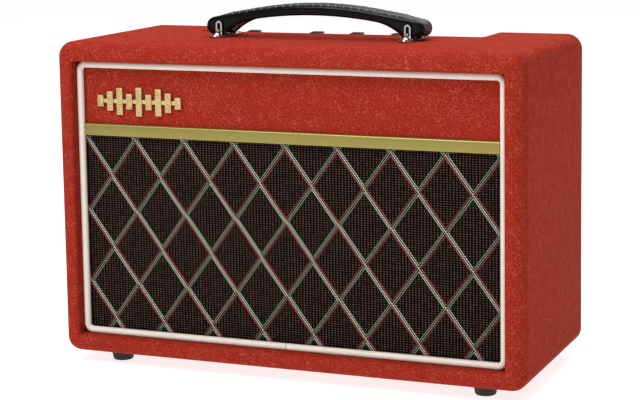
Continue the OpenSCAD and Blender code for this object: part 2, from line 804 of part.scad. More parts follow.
// Leather-look strip on top of the grip, wrapped down round its ends and thinner there
inlay_stop = -40;
inlay_end_t = 0.5;
module handle_inlay() {
    run = concat([for (x = [0 : 5 : arc_half]) x], [inlay_half]);
    turn = [80 : -10 : inlay_stop];
    inner = concat([for (x = run) [x, rim_z(x)]],
                   [for (a = turn) [end_x + end_r * cos(a), end_z + end_r * sin(a)]]);
    outer = concat([for (x = run) [x, rim_z(x) + (x < inlay_half ? inlay_t : inlay_end_t)]],
                   [for (a = turn) [end_x + (end_r + inlay_end_t) * cos(a), end_z + (end_r + inlay_end_t) * sin(a)]]);
    color("#2b2d28") mirror_x() on_handle(handle_w - 5)
        polygon(concat(inner, [for (i = [len(outer) - 1 : -1 : 0]) outer[i]]));
}

module handle_pins() {
    color("silver") pin_bore(handle_w + 7);
}

// One slotted bracket: a floor plate with a tab at each side and two upright ears
module bracket() {
    color("silver") translate([bracket_x, handle_y, z_top]) difference() {
        union() {
            translate([-bracket_w / 2, -tab_reach + bracket_w / 2, 0]) cube([bracket_w, 2 * tab_reach - bracket_w, ear_t]);
            for (sy = [-1, 1]) {
                translate([0, sy * (tab_reach - bracket_w / 2), 0]) cylinder(r = bracket_w / 2, h = ear_t);
                translate([0, sy * (handle_w / 2 + 1 + ear_t / 2), 0]) {
                    translate([-ear_w / 2, -ear_t / 2, 0]) cube([ear_w, ear_t, ear_top - ear_w / 2]);
                    translate([0, 0, ear_top - ear_w / 2]) rotate([90, 0, 0])
                        cylinder(r = ear_w / 2, h = ear_t, center = true, $fn = 32);
                }
            }
        }
        slot_r = pin_r + running;
        translate([-slot_r, -handle_w, pin_up]) cube([2 * slot_r, 2 * handle_w, handle_lift]);
        for (z = [pin_up, pin_up + handle_lift]) translate([0, 0, z]) rotate([90, 0, 0])
            cylinder(r = slot_r, h = 2 * handle_w, center = true, $fn = 32);
        for (sy = [-1, 1]) translate([0, sy * screw_reach, -over]) cylinder(r = foot_screw_r, h = ear_t + 2 * over, $fn = 24);
    }
}

module handle_brackets() mirror_x() bracket();

module bracket_screws() {
    color("silver") for (sx = [-1, 1], sy = [-1, 1])
        translate([sx * bracket_x, handle_y + sy * screw_reach, z_top + ear_t])
            round_screw(4.2, 2.6, foot_screw_r, ear_t + wall * 0.6);
}

cabinet_shell();
front_baffle();
baffle_battens();
name_panel();
grille_cloth();
trim_strip();
badge();
piping();
rubber_feet();
foot_screws();
back_battens();
back_panel();
back_panel_screws();
chassis();
control_panel();
circuit_board();
board_standoffs();
heat_sink();
amplifier_chip();
main_capacitors();
transformer_core();
transformer_coil();
mains_inlet();
pots();
pot_nuts();
input_jack();
phones_jack();
jack_nuts();
overdrive_switch();
power_switch_housing();
led_bezel();
power_led();
speaker_frame();
speaker_gasket();
speaker_surround();
speaker_spider();
speaker_top_plate();
speaker_magnet();
speaker_yoke();
speaker_terminals();
speaker_bolts();
speaker_leads();
handle_brackets();
bracket_screws();
gain_shaft();
gain_knob();
treble_shaft();
treble_knob();
bass_shaft();
bass_knob();
volume_shaft();
volume_knob();
overdrive_button();
power_rocker();
speaker_cone();
dust_cap();
voice_coil();
handle_grip();
handle_inlay();
handle_pins();
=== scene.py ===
import math

import bmesh
import bpy
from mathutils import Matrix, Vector


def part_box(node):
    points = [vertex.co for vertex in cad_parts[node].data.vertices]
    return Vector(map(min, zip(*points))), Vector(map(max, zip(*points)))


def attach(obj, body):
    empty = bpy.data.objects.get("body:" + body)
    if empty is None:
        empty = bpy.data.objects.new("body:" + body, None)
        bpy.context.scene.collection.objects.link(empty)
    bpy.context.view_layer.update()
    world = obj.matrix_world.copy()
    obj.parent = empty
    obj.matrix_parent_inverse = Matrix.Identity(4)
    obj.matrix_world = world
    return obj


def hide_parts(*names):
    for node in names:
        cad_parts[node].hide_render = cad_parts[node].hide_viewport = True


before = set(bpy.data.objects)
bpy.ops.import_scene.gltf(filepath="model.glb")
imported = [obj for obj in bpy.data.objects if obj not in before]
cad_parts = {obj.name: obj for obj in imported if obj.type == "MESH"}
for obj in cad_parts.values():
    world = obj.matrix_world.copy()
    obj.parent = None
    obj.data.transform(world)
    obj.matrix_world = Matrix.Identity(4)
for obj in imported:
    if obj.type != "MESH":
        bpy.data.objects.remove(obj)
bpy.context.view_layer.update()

# Cabinet. A box of 15 mm boards glued at the corners, its edges rounded over, then wrapped in red
# vinyl leathercloth. The top board is cut away at the rear for the controls, and the vinyl turns
# in round every edge of the box.
cabinet_low, cabinet_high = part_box("cabinet_shell")
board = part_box("front_baffle")[0].x - cabinet_low.x
outer_round = 0.012
inner_round = 0.0028
recess_half = 0.122
recess_front = cabinet_high.y - 0.0435
recess_corner = 0.005
recess_flare = 0.004
vinyl_turn = 0.0014
a_hair = 0.00002


def set_aside():
    """Leaves edit mode with nothing selected, so that an operator works only on what comes next."""
    if bpy.context.mode != "OBJECT":
        bpy.ops.object.mode_set(mode="OBJECT")
    bpy.ops.object.select_all(action="DESELECT")


def take_up(piece, mode="OBJECT"):
    """Makes a piece the only one selected, and opens it in the mode asked for."""
    set_aside()
    piece.select_set(True)
    bpy.context.view_layer.objects.active = piece
    bpy.ops.object.mode_set(mode=mode)


def named(name):
    """Names the primitive just added, puts its place into its mesh, and opens it in edit mode."""
    piece = bpy.context.object
    piece.name = piece.data.name = name
    bpy.ops.object.transform_apply(location=True, rotation=True, scale=True)
    take_up(piece, "EDIT")
    return piece


def block(name, low, high):
    """A block between two corners, in edit mode."""
    set_aside()
    low, high = Vector(low), Vector(high)
    bpy.ops.mesh.primitive_cube_add(size=1, location=(low + high) / 2, scale=high - low)
    return named(name)


def pick(piece, kind, wanted):
    """Selects the faces, edges or points whose middle and direction fit, in edit mode."""
    bpy.ops.mesh.select_mode(type=kind)
    bpy.ops.mesh.select_all(action="DESELECT")
    mesh = bmesh.from_edit_mesh(piece.data)
    for part in {"FACE": mesh.faces, "EDGE": mesh.edges, "VERT": mesh.verts}[kind]:
        points = [part] if kind == "VERT" else list(part.verts)
        middle = sum((point.co for point in points), Vector()) / len(points)
        way = (points[1].co - points[0].co).normalized() if kind == "EDGE" else part.normal
        if wanted(middle, way):
            part.select_set(True)
    mesh.select_flush_mode()
    bmesh.update_edit_mesh(piece.data)


def score(point, across):
    """Cuts edges right through the piece in hand along a plane."""
    bpy.ops.mesh.select_all(action="SELECT")
    bpy.ops.mesh.bisect(plane_co=point, plane_no=across)


def finish_with(piece, kind, **settings):
    """Puts a modifier on a piece and applies it."""
    take_up(piece)
    modifier = piece.modifiers.new(kind.lower(), kind)
    for setting, value in settings.items():
        setattr(modifier, setting, value)
    bpy.ops.object.modifier_apply(modifier=modifier.name)


def break_edges(piece, width, segments=3):
    """Rounds every sharp edge a little, as a real edge is, and smooths the shading between them."""
    finish_with(piece, "BEVEL", width=width, segments=segments, limit_method="ANGLE",
                angle_limit=math.radians(32), use_clamp_overlap=True)
    bpy.ops.object.shade_smooth_by_angle(angle=math.radians(40))
    finish_with(piece, "WEIGHTED_NORMAL", keep_sharp=True)


def linear(code):
    """An sRGB hex colour as the linear one that a shader takes."""
    parts = [int(code[i:i + 2], 16) / 255 for i in (0, 2, 4)]
    return [((c + 0.055) / 1.055) ** 2.4 if c > 0.04045 else c / 12.92 for c in parts] + [1]


def new_material(name):
    """An empty node material."""
    material = bpy.data.materials.new(name)
    material.use_nodes = True
    material.node_tree.nodes.clear()
    return material


def add(material, kind, inputs=None, **settings):
    """Adds one node with its settings. Each input takes a value, or a link from another node."""
    node = material.node_tree.nodes.new("ShaderNode" + kind)
    for setting, value in settings.items():
        setattr(node, setting, value)
    for key, value in (inputs or {}).items():
        live = [s for s in node.inputs if s.enabled and s.name == key]
        into = node.inputs[key] if isinstance(key, int) else live[0]
        if isinstance(value, bpy.types.Node):
            value = next(s for s in value.outputs if s.enabled)
        if isinstance(value, bpy.types.NodeSocket):
            material.node_tree.links.new(value, into)
        else:
            into.default_value = value
    return node


def give(piece, material, body="cabinet", replaces=()):
    """Gives a piece its material and the body it moves with, and hides the parts it replaces."""
    take_up(piece)
    if not piece.data.materials:
        piece.data.materials.append(material)
    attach(piece, body)
    if replaces:
        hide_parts(*replaces)


# Embossed vinyl leathercloth: a web of fine raised creases, drawn out along one lean, over a pebbled
# grain; the creases are painted paler than the ground, a painted highlight for the sheen on their
# ridges. It is close to matt, and the creases fade in and out.
crease_gap = 0.0017
crease_run = 1.9
crease_lean = math.radians(-38)
crease_wander = 0.0022
wander_size = 0.004
patch_size = 0.009
pebble = 0.0007
cloud_size = 0.05
vinyl = new_material("red_vinyl_leathercloth")
place = add(vinyl, "TexCoord").outputs["Object"]
drift = add(vinyl, "TexNoise", {"Vector": place, "Scale": 1 / wander_size, "Detail": 2.0})
bent = add(vinyl, "VectorMath", {0: drift.outputs["Color"], 1: (crease_wander,) * 3, 2: place},
           operation="MULTIPLY_ADD")
leaning = add(vinyl, "Mapping", {"Vector": bent, "Rotation": (0.0, crease_lean, 0.0),
                                 "Scale": (crease_run, 1.0, 1.0)}, vector_type="TEXTURE")
strokes = add(vinyl, "TexVoronoi", {"Vector": leaning, "Scale": 1 / crease_gap},
              feature="DISTANCE_TO_EDGE")
crease_and_sheen = add(vinyl, "MapRange", {"Value": strokes, "From Min": 0.0, "From Max": 0.11, "To Min": 1.0,
                                     "To Max": 0.0}, interpolation_type="SMOOTHSTEP")
patches = add(vinyl, "TexNoise", {"Vector": place, "Scale": 1 / patch_size, "Detail": 2.0})
patchy = add(vinyl, "MapRange", {"Value": patches, "From Min": 0.35, "From Max": 0.62, "To Min": 0.35,
                                 "To Max": 1.0})
crease_and_sheen = add(vinyl, "Math", {0: crease_and_sheen, 1: patchy}, operation="MULTIPLY")
grain = add(vinyl, "TexNoise", {"Vector": place, "Scale": 1 / pebble, "Detail": 2.0})
clouds = add(vinyl, "TexNoise", {"Vector": place, "Scale": 1 / cloud_size, "Detail": 2.0})
ground = add(vinyl, "Mix", {"Factor": clouds, "A": linear("8c2116"), "B": linear("962719")},
             data_type="RGBA")
# The paler crease colour is a painted highlight: it stands in for the sheen on the raised creases.
colour = add(vinyl, "Mix", {"Factor": crease_and_sheen, "A": ground, "B": linear("b8503e")}, data_type="RGBA")
height = add(vinyl, "Math", {0: grain, 1: 0.5, 2: crease_and_sheen}, operation="MULTIPLY_ADD")
relief = add(vinyl, "Bump", {"Height": height, "Strength": 0.7, "Distance": 0.0002})
gloss = add(vinyl, "MapRange", {"Value": grain, "From Min": 0.3, "From Max": 0.7, "To Min": 0.44,
                                "To Max": 0.56})
skin = add(vinyl, "BsdfPrincipled", {"Base Color": colour, "Roughness": gloss, "Normal": relief, "IOR": 1.5,
                                     "Specular IOR Level": 0.005})
add(vinyl, "OutputMaterial", {"Surface": skin})

shell = block("vinyl_cabinet", cabinet_low, cabinet_high)
pick(shell, "FACE", lambda at, way: abs(way.y) > 0.9)
bpy.ops.mesh.inset(thickness=board, depth=0)
bpy.ops.mesh.bridge_edge_loops()
score((recess_half, 0, 0), (1, 0, 0))
score((-recess_half, 0, 0), (1, 0, 0))
score((0, recess_front, 0), (0, 1, 0))
under_top = cabinet_high.z - board
pick(shell, "FACE", lambda at, way: abs(at.x) < recess_half - a_hair and at.y > recess_front + a_hair
     and at.z > under_top - a_hair)
bpy.ops.mesh.delete(type="FACE")
for side in (-recess_half, recess_half):
    pick(shell, "VERT", lambda at, way: abs(at.x - side) < a_hair and at.y > recess_front - a_hair
         and at.z > under_top - a_hair)
    bpy.ops.mesh.edge_face_add()
pick(shell, "VERT", lambda at, way: abs(at.x) < recess_half + a_hair and abs(at.y - recess_front) < a_hair
     and at.z > under_top - a_hair)
bpy.ops.mesh.edge_face_add()
bpy.ops.mesh.select_all(action="SELECT")
bpy.ops.mesh.normals_make_consistent(inside=False)
for corner_y, radius in ((recess_front, recess_corner), (cabinet_high.y, recess_flare)):
    pick(shell, "EDGE", lambda at, way: abs(way.z) > 0.9 and abs(abs(at.x) - recess_half) < a_hair
         and abs(at.y - corner_y) < a_hair and at.z > under_top)
    bpy.ops.mesh.bevel(offset=radius, segments=6, affect="EDGES")


def on_side(at):
    """Whether a point lies on the left or right face of the cabinet."""
    return abs(abs(at.x) - cabinet_high.x) < a_hair


def on_end(at):
    """Whether a point lies on the top or the underside of the cabinet."""
    return min(at.z - cabinet_low.z, cabinet_high.z - at.z) < a_hair


pick(shell, "EDGE", lambda at, way: (abs(way.y) > 0.9 and on_side(at) and on_end(at))
     or (abs(way.y) < 0.9 and at.y < cabinet_low.y + a_hair and (on_side(at) or on_end(at))))
bpy.ops.mesh.bevel(offset=outer_round, segments=10, affect="EDGES", clamp_overlap=False)
inner_x, inner_low, inner_high = cabinet_high.x - board, cabinet_low.z + board, under_top
pick(shell, "EDGE", lambda at, way: at.y < cabinet_low.y + a_hair and abs(at.x) < inner_x + a_hair
     and inner_low - a_hair < at.z < inner_high + a_hair)
bpy.ops.mesh.bevel(offset=inner_round, segments=5, affect="EDGES", clamp_overlap=False)
break_edges(shell, vinyl_turn)
give(shell, vinyl, replaces=["cabinet_shell"])

# Corner folds. Where the vinyl is cut and turned in at each corner of the front, its two edges
# meet in a fine raised line that runs out from the corner of the opening over the round.
fold_r = 0.00028
fold_run = 0.0105
fold_start = inner_round * 0.6
fold_steps = 12
fold_bow = 0.0006
folds = []
for x_side in (-1, 1):
    for z_side, inner_z in ((-1, inner_low), (1, inner_high)):
        route = bpy.data.curves.new("fold", "CURVE")
        route.dimensions = "3D"
        route.bevel_depth = fold_r
        route.bevel_resolution = 2
        line = route.splines.new("POLY")
        line.points.add(fold_steps)
        for i, point in enumerate(line.points):
            out = fold_start + i / fold_steps * (fold_run - fold_start)
            over = max(0, out - (board - outer_round))
            depth = outer_round - math.sqrt(outer_round ** 2 - 2 * over ** 2)
            bow = fold_bow * math.sin(math.pi * i / fold_steps)
            point.co = (x_side * (inner_x + out + bow), cabinet_low.y + depth,
                        inner_z + z_side * (out - bow), 1)
        fold = bpy.data.objects.new("fold", route)
        bpy.context.scene.collection.objects.link(fold)
        take_up(fold)
        bpy.ops.object.convert(target="MESH")
        folds.append(bpy.context.object)


def joined(pieces, name):
    """Makes one piece of several."""
    take_up(pieces[0])
    for piece in pieces:
        piece.select_set(True)
    bpy.ops.object.join()
    pieces[0].name = pieces[0].data.name = name
    return pieces[0]


corner_folds = joined(folds, "vinyl_corner_folds")
take_up(corner_folds, "EDIT")
bpy.ops.mesh.select_all(action="SELECT")
bpy.ops.mesh.fill_holes(sides=0)
bpy.ops.mesh.normals_make_consistent(inside=False)
take_up(corner_folds)
bpy.ops.object.shade_smooth_by_angle(angle=math.radians(60))
give(corner_folds, vinyl)

# Baffle and glue blocks. Birch plywood: the board that carries the speaker and the cloth, glued
# behind the opening with blocks along its edges. Its edges show the plies as pale and brown lines.
ply = 0.0015
fibre_long = 0.025
fibre_wide = 1 / 260


def dress(nodes, material):
    """Gives machined parts of the frame, which keep their own shape, a finish."""
    for name in nodes.split():
        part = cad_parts[name]
        if not part.material_slots:
            part.data.materials.append(material)
        for held in part.material_slots:
            held.material = material


birch = new_material("birch_plywood")
place = add(birch, "TexCoord").outputs["Object"]
along = add(birch, "Mapping", {"Vector": place, "Scale": (1 / fibre_long, 1 / ply, 1 / fibre_wide)})
through = add(birch, "Mapping", {"Vector": place, "Scale": (0, 0.5 / ply, 0)})
layers = add(birch, "TexWave", {"Vector": through, "Scale": 1.0, "Distortion": 0.6}, bands_direction="Y")
streaks = add(birch, "TexNoise", {"Vector": along, "Scale": 1.0, "Detail": 3.0})
wood = add(birch, "Mix", {"Factor": streaks, "A": linear("b88f5e"), "B": linear("d9b98a")}, data_type="RGBA")
plies = add(birch, "Mix", {"Factor": layers, "A": linear("8a6238"), "B": wood}, data_type="RGBA")
fibre = add(birch, "Bump", {"Height": streaks, "Strength": 0.5, "Distance": 0.0002})
timber = add(birch, "BsdfPrincipled", {"Base Color": plies, "Roughness": 0.62, "Normal": fibre})
add(birch, "OutputMaterial", {"Surface": timber})
dress("front_baffle baffle_battens back_battens", birch)

# Speaker. A pressed steel basket in black paint, with a ferrite magnet between zinc-plated plates.
# The cone and cap are fibrous black paper, held by a rubber roll in front and, behind, by a
# resin-dipped cloth ring. Each finish is a ground with specks of its own size.


def speckled(name, dark, pale, speck, roughness, metallic=0.0, rise=0.00004):
    """A material of one substance: two shades in specks of a real size, which also stand proud."""
    material = new_material(name)
    spot = add(material, "TexCoord").outputs["Object"]
    specks = add(material, "TexNoise", {"Vector": spot, "Scale": 1 / speck, "Detail": 3.0})
    mixed = add(material, "Mix", {"Factor": specks, "A": linear(dark), "B": linear(pale)}, data_type="RGBA")
    rough = add(material, "MapRange", {"Value": specks, "To Min": roughness - 0.06,
                                       "To Max": roughness + 0.06})
    proud = add(material, "Bump", {"Height": specks, "Strength": 0.6, "Distance": rise})
    face = add(material, "BsdfPrincipled", {"Base Color": mixed, "Roughness": rough, "Metallic": metallic,
                                            "Normal": proud})
    add(material, "OutputMaterial", {"Surface": face})
    return material


# Stoving enamel: an even black with a slight orange peel.
enamel = speckled("black_stoving_enamel", "141414", "202020", 0.0020, 0.38)
# Bonded cork: tan granules.
cork = speckled("bonded_cork", "8a6844", "bb976a", 0.0012, 0.85, rise=0.00015)
# Moulded rubber: dark, with hardly any shine.
rubber = speckled("moulded_rubber", "131313", "1e1e1e", 0.0006, 0.62)
# Phenolic-dipped cotton: amber threads.
dipped_cotton = speckled("phenolic_cotton", "a87d3c", "caa35e", 0.0008, 0.75, rise=0.0001)
# Bright zinc plate: a pale bluish metal with faint cloudiness.
zinc = speckled("bright_zinc_plate", "b4b7ba", "cdd0d2", 0.0040, 0.28, 1.0, rise=0.000005)
# Sintered ferrite: a dark grey ceramic, ground on its faces.
ferrite = speckled("sintered_ferrite", "2b2b2d", "3a3a3d", 0.0010, 0.45)
# Phenolic paper board: brown and slightly shiny.
phenolic = speckled("phenolic_board", "6d4423", "845430", 0.0015, 0.42)
# Felted paper pulp, dyed black: visible fibres.
pulp = speckled("black_paper_pulp", "1d1d1c", "33332f", 0.0015, 0.88, rise=0.0002)
# Enamelled copper wire on a paper former.
copper = speckled("enamelled_copper", "9a4f25", "c87941", 0.0007, 0.32, 1.0)
dress("speaker_frame", enamel)
dress("speaker_gasket", cork)
dress("speaker_surround", rubber)
dress("speaker_spider", dipped_cotton)
dress("speaker_top_plate speaker_yoke speaker_bolts foot_screws back_panel_screws", zinc)
dress("speaker_magnet", ferrite)
dress("speaker_terminals", phenolic)
dress("speaker_cone dust_cap", pulp)
dress("voice_coil", copper)

# Speaker leads. PVC-covered wire, one red and one black: the two lie side by side, so the colour
# changes between them.
# The two part along a line in X that shifts with the height.
part_slope, part_offset = -0.165, 0.255
lead_pvc = new_material("lead_pvc")
spot = add(lead_pvc, "SeparateXYZ", {0: add(lead_pvc, "TexCoord").outputs["Object"]})
slant = add(lead_pvc, "Math", {0: spot.outputs["Z"], 1: part_slope, 2: part_offset},
            operation="MULTIPLY_ADD")
redder = add(lead_pvc, "Math", {0: spot.outputs["X"], 1: slant}, operation="ADD")
hue = add(lead_pvc, "Mix", {"Factor": redder, "A": linear("1a1a1a"), "B": linear("b02018")},
          data_type="RGBA")
jacket = add(lead_pvc, "BsdfPrincipled", {"Base Color": hue, "Roughness": 0.4})
add(lead_pvc, "OutputMaterial", {"Surface": jacket})
dress("speaker_leads", lead_pvc)

# Grille cloth. One sheet of woven synthetic cloth, stretched over the baffle: dark brown ground
# with a small tan float at each crossing of its threads, under a figure of raised yarns.
cloth_low, cloth_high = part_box("grille_cloth")
float_pitch = (0.00249, 0.00179)
float_half = (0.24, 0.15)
slub = 0.004
cloth_thick = 0.0007

weave = new_material("woven_grille_cloth")
place = add(weave, "TexCoord").outputs["Object"]
axes = add(weave, "SeparateXYZ", {0: place})
inside = []
for axis, pitch, edge in zip("XZ", float_pitch, float_half):
    count = add(weave, "Math", {0: axes.outputs[axis], 1: 1 / pitch}, operation="MULTIPLY")
    part = add(weave, "Math", {0: count}, operation="FRACT")
    off = add(weave, "Math", {0: part, 1: 0.5}, operation="SUBTRACT")
    off = add(weave, "Math", {0: off}, operation="ABSOLUTE")
    inside.append(add(weave, "MapRange", {"Value": off, "From Min": edge - 0.1, "From Max": edge + 0.1,
                                          "To Min": 1.0, "To Max": 0.0}, interpolation_type="SMOOTHSTEP"))
floats = add(weave, "Math", {0: inside[0], 1: inside[1]}, operation="MULTIPLY")
uneven = add(weave, "TexNoise", {"Vector": place, "Scale": 1 / slub, "Detail": 2.0})
uneven = add(weave, "MapRange", {"Value": uneven, "From Min": 0.3, "From Max": 0.7, "To Min": 0.3,
                                 "To Max": 1.0})
shown = add(weave, "Math", {0: floats, 1: uneven}, operation="MULTIPLY")
warp = add(weave, "Mix", {"Factor": inside[0], "A": linear("070303"), "B": linear("0e0606")},
           data_type="RGBA")
threads = add(weave, "Mix", {"Factor": shown, "A": warp, "B": linear("7b6055")}, data_type="RGBA")
knots = add(weave, "Bump", {"Height": floats, "Strength": 0.7, "Distance": 0.00025})
textile = add(weave, "BsdfPrincipled", {"Base Color": threads, "Roughness": 0.8, "Normal": knots,
                                        "Specular IOR Level": 0.03})
add(weave, "OutputMaterial", {"Surface": textile})

set_aside()
cloth_w, cloth_h = cloth_high.x - cloth_low.x, cloth_high.z - cloth_low.z
bpy.ops.mesh.primitive_grid_add(x_subdivisions=56, y_subdivisions=26, size=1,
                                rotation=(math.radians(90), 0, 0),
                                location=(0, cloth_low.y, (cloth_low.z + cloth_high.z) / 2))
bpy.context.object.scale = (cloth_w, cloth_h, 1)
cloth = named("grille_cloth_sheet")
finish_with(cloth, "SOLIDIFY", thickness=cloth_thick, offset=-1)
bpy.ops.object.shade_smooth_by_angle(angle=math.radians(40))
give(cloth, weave, replaces=["grille_cloth"])

# Figure of the cloth. Yarns woven in over the ground in diamonds: a cream one along each line of
# the lattice, with a green one inside every other row of diamonds and a red one inside the rest.
# The yarns that fall to the right float higher; they are painted brighter and the others painted darker, as
# painted light and shade.
lattice_w, lattice_h = 0.04235, 0.057
lattice_top = cabinet_low.z + 0.1707
yarn_w = 0.00048
yarn_rise = 0.0003
yarn_sunk = 0.0001
yarn_round = yarn_w * 0.3
yarn_apart = 0.00145
yarn_long = 0.26
diagonal = math.hypot(lattice_w, lattice_h)


def yarn(name, painted_lit_tone, painted_shade_tone):
    """Twisted yarn in two strengths: a painted highlight on lines that fall to the right, painted shade on
    the others.
    """
    material = new_material(name)
    at = add(material, "SeparateXYZ", {0: add(material, "TexCoord").outputs["Object"]})
    across = add(material, "Math", {0: at.outputs["X"], 1: 1 / lattice_w}, operation="MULTIPLY")
    up = add(material, "Math", {0: at.outputs["Z"], 1: 1 / lattice_h, 2: -lattice_top / lattice_h},
             operation="MULTIPLY_ADD")
    gaps = []
    for turn in ("ADD", "SUBTRACT"):
        line = add(material, "Math", {0: across, 1: up}, operation=turn)
        whole = add(material, "Math", {0: line}, operation="ROUND")
        gap = add(material, "Math", {0: line, 1: whole}, operation="SUBTRACT")
        gaps.append(add(material, "Math", {0: gap}, operation="ABSOLUTE"))
    # Lines that fall to the right get the painted highlight tone, the others the painted shade tone.
    painted_light_mask = add(material, "Math", {0: gaps[0], 1: gaps[1]}, operation="LESS_THAN")
    strand = add(material, "Math", {0: at.outputs["Z"], 1: 2 * math.pi / float_pitch[1]},
                 operation="MULTIPLY")
    strand = add(material, "Math", {0: strand}, operation="SINE")
    strand = add(material, "MapRange", {"Value": strand, "From Min": -1.0, "To Min": 0.35, "To Max": 1.0})
    tone = add(material, "Mix", {"Factor": painted_light_mask, "A": linear(painted_shade_tone), "B": linear(painted_lit_tone)}, data_type="RGBA")
    tone = add(material, "Mix", {"Factor": strand, "A": linear("120808"), "B": tone}, data_type="RGBA")
    spun = add(material, "BsdfPrincipled", {"Base Color": tone, "Roughness": 0.6})
    add(material, "OutputMaterial", {"Surface": spun})
    return material


def trim_to_cloth(piece):
    """Cuts a figure of yarns off at the edges of the cloth."""
    for point, outward in ((cloth_low, (-1, 0, 0)), (cloth_low, (0, 0, -1)),
                           (cloth_high, (1, 0, 0)), (cloth_high, (0, 0, 1))):
        take_up(piece, "EDIT")
        bpy.ops.mesh.select_all(action="SELECT")
        bpy.ops.mesh.bisect(plane_co=point, plane_no=outward, use_fill=True, clear_outer=True)
    set_aside()


def repeat(piece, count, shift):
    """Lays out copies of a piece in a row."""
    finish_with(piece, "ARRAY", count=count, use_relative_offset=False, use_constant_offset=True,
                constant_offset_displace=shift)


figure = []
# Each yarn's two colours are one colour shown in painted light and in painted shade.
for name, painted_lit_tone, painted_shade_tone, first_x, first_z in (
        ("green_figure_yarn", "c4ecd8", "82a896", -4.5 * lattice_w, lattice_top),
        ("red_figure_yarn", "cc5464", "8c3c48", -5 * lattice_w, lattice_top + lattice_h / 2)):
    inner = yarn_apart - yarn_w / 2
    set_aside()
    bpy.ops.mesh.primitive_circle_add(vertices=4, radius=1, fill_type="NGON",
                                      rotation=(math.radians(90), 0, 0),
                                      location=(first_x, cloth_low.y + yarn_sunk, first_z))
    bpy.context.object.scale = (lattice_w / 2 - inner * diagonal / lattice_h,
                                lattice_h / 2 - inner * diagonal / lattice_w, 1)
    ring = named(name)
    bpy.ops.mesh.select_all(action="SELECT")
    bpy.ops.mesh.inset(thickness=yarn_w, depth=0, use_even_offset=True)
    bpy.ops.mesh.delete(type="FACE")
    bpy.ops.mesh.select_all(action="SELECT")
    bpy.ops.mesh.extrude_region_move(TRANSFORM_OT_translate={"value": (0, -yarn_rise - yarn_sunk, 0)})
    bpy.ops.mesh.select_all(action="SELECT")
    bpy.ops.mesh.normals_make_consistent(inside=False)
    pick(ring, "EDGE", lambda at, way: at.y < cloth_low.y - yarn_rise + a_hair and abs(way.y) < 0.5)
    bpy.ops.mesh.bevel(offset=yarn_round, segments=2, affect="EDGES")
    repeat(ring, 11, (lattice_w, 0, 0))
    repeat(ring, 4, (0, 0, -lattice_h))
    trim_to_cloth(ring)
    figure.append((ring, yarn(name, painted_lit_tone, painted_shade_tone)))
for name, lean, lift in (("cream_yarn_falling", 1, 0.00005), ("cream_yarn_rising", -1, 0)):
    set_aside()
    bpy.ops.mesh.primitive_cube_add(size=1, rotation=(0, lean * math.atan2(lattice_h, lattice_w), 0),
                                    location=(-7.5 * lattice_w, cloth_low.y - yarn_rise / 2 - lift,
                                              lattice_top - 1.5 * lattice_h))
    bpy.context.object.scale = (yarn_long, yarn_rise + 2 * yarn_sunk, yarn_w)
    strand = named(name)
    pick(strand, "EDGE", lambda at, way: at.y < cloth_low.y - yarn_rise and abs(way.y) < 0.5)
    bpy.ops.mesh.bevel(offset=yarn_round, segments=2, affect="EDGES")
    repeat(strand, 16, (lattice_w, 0, 0))
    trim_to_cloth(strand)
    figure.append((strand, yarn(name, "fff4dc", "b8a68c")))
for piece, material in figure:
    give(piece, material)

# Name panel. A thin board wrapped in the same vinyl, set between the piping and the trim strip.
panel = block("vinyl_name_panel", *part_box("name_panel"))
break_edges(panel, 0.0006)
give(panel, vinyl, replaces=["name_panel"])

# Trim strip. Gold anodised aluminium, drawn to a shallow section: a flat face, a slanted upper
# edge that catches the light, and a lower edge only just broken.
strip_slant = 0.0015
strip_lower_round = 0.0010
draw_long, draw_fine = 1 / 6, 1 / 900
gold_strip = new_material("gold_anodised_aluminium")
place = add(gold_strip, "TexCoord").outputs["Object"]
drawn = add(gold_strip, "Mapping", {"Vector": place, "Scale": (1 / draw_long, 1 / draw_fine, 1 / draw_fine)})
lines = add(gold_strip, "TexNoise", {"Vector": drawn, "Scale": 1.0, "Detail": 2.0})
gilt = add(gold_strip, "Mix", {"Factor": lines, "A": linear("94884a"), "B": linear("a09452")},
           data_type="RGBA")
draw_marks = add(gold_strip, "Bump", {"Height": lines, "Strength": 0.3, "Distance": 0.00002})
anodised = add(gold_strip, "BsdfPrincipled", {"Base Color": gilt, "Metallic": 0.8, "Roughness": 0.42,
                                              "Normal": draw_marks})
add(gold_strip, "OutputMaterial", {"Surface": anodised})
strip_low, strip_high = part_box("trim_strip")
strip = block("gold_trim_strip", strip_low, strip_high)
pick(strip, "EDGE", lambda at, way: at.y < strip_low.y + a_hair and at.z > strip_high.z - a_hair)
bpy.ops.mesh.bevel(offset=strip_slant, segments=2, profile=0.4, affect="EDGES")
pick(strip, "EDGE", lambda at, way: at.y < strip_low.y + a_hair and at.z < strip_low.z + a_hair)
bpy.ops.mesh.bevel(offset=strip_lower_round, segments=4, affect="EDGES")
break_edges(strip, 0.0003, 2)
give(strip, gold_strip, replaces=["trim_strip"])

# Emblem. Upright bars of stepped heights on one rail, cast in zinc alloy and gilded: each face is
# finely ribbed across inside a bright bevelled rim.
emblem_low, emblem_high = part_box("badge")
bar_w = 0.005
bar_rise = (9, 15, 21, 12, 22.4, 12, 21, 15, 9)
bar_step = (emblem_high.x - emblem_low.x - bar_w) / (len(bar_rise) - 1)
rib = 0.0008
rib_rise = 0.0005
bar_rim = 0.0008
bar_sunk = 0.0004
rail_half = 0.0016
rail_back = 0.0009
gilding = new_material("gilded_zinc_casting")
place = add(gilding, "TexCoord").outputs["Object"]
wear = add(gilding, "TexNoise", {"Vector": place, "Scale": 1 / 0.003, "Detail": 3.0})
tint = add(gilding, "Mix", {"Factor": wear, "A": linear("b59a62"), "B": linear("e6d49c")}, data_type="RGBA")
cast = add(gilding, "Bump", {"Height": wear, "Strength": 0.4, "Distance": 0.00005})
plated = add(gilding, "BsdfPrincipled", {"Base Color": tint, "Metallic": 0.9, "Roughness": 0.3,
                                         "Normal": cast})
add(gilding, "OutputMaterial", {"Surface": plated})
emblem_z = (emblem_low.z + emblem_high.z) / 2
bars = []
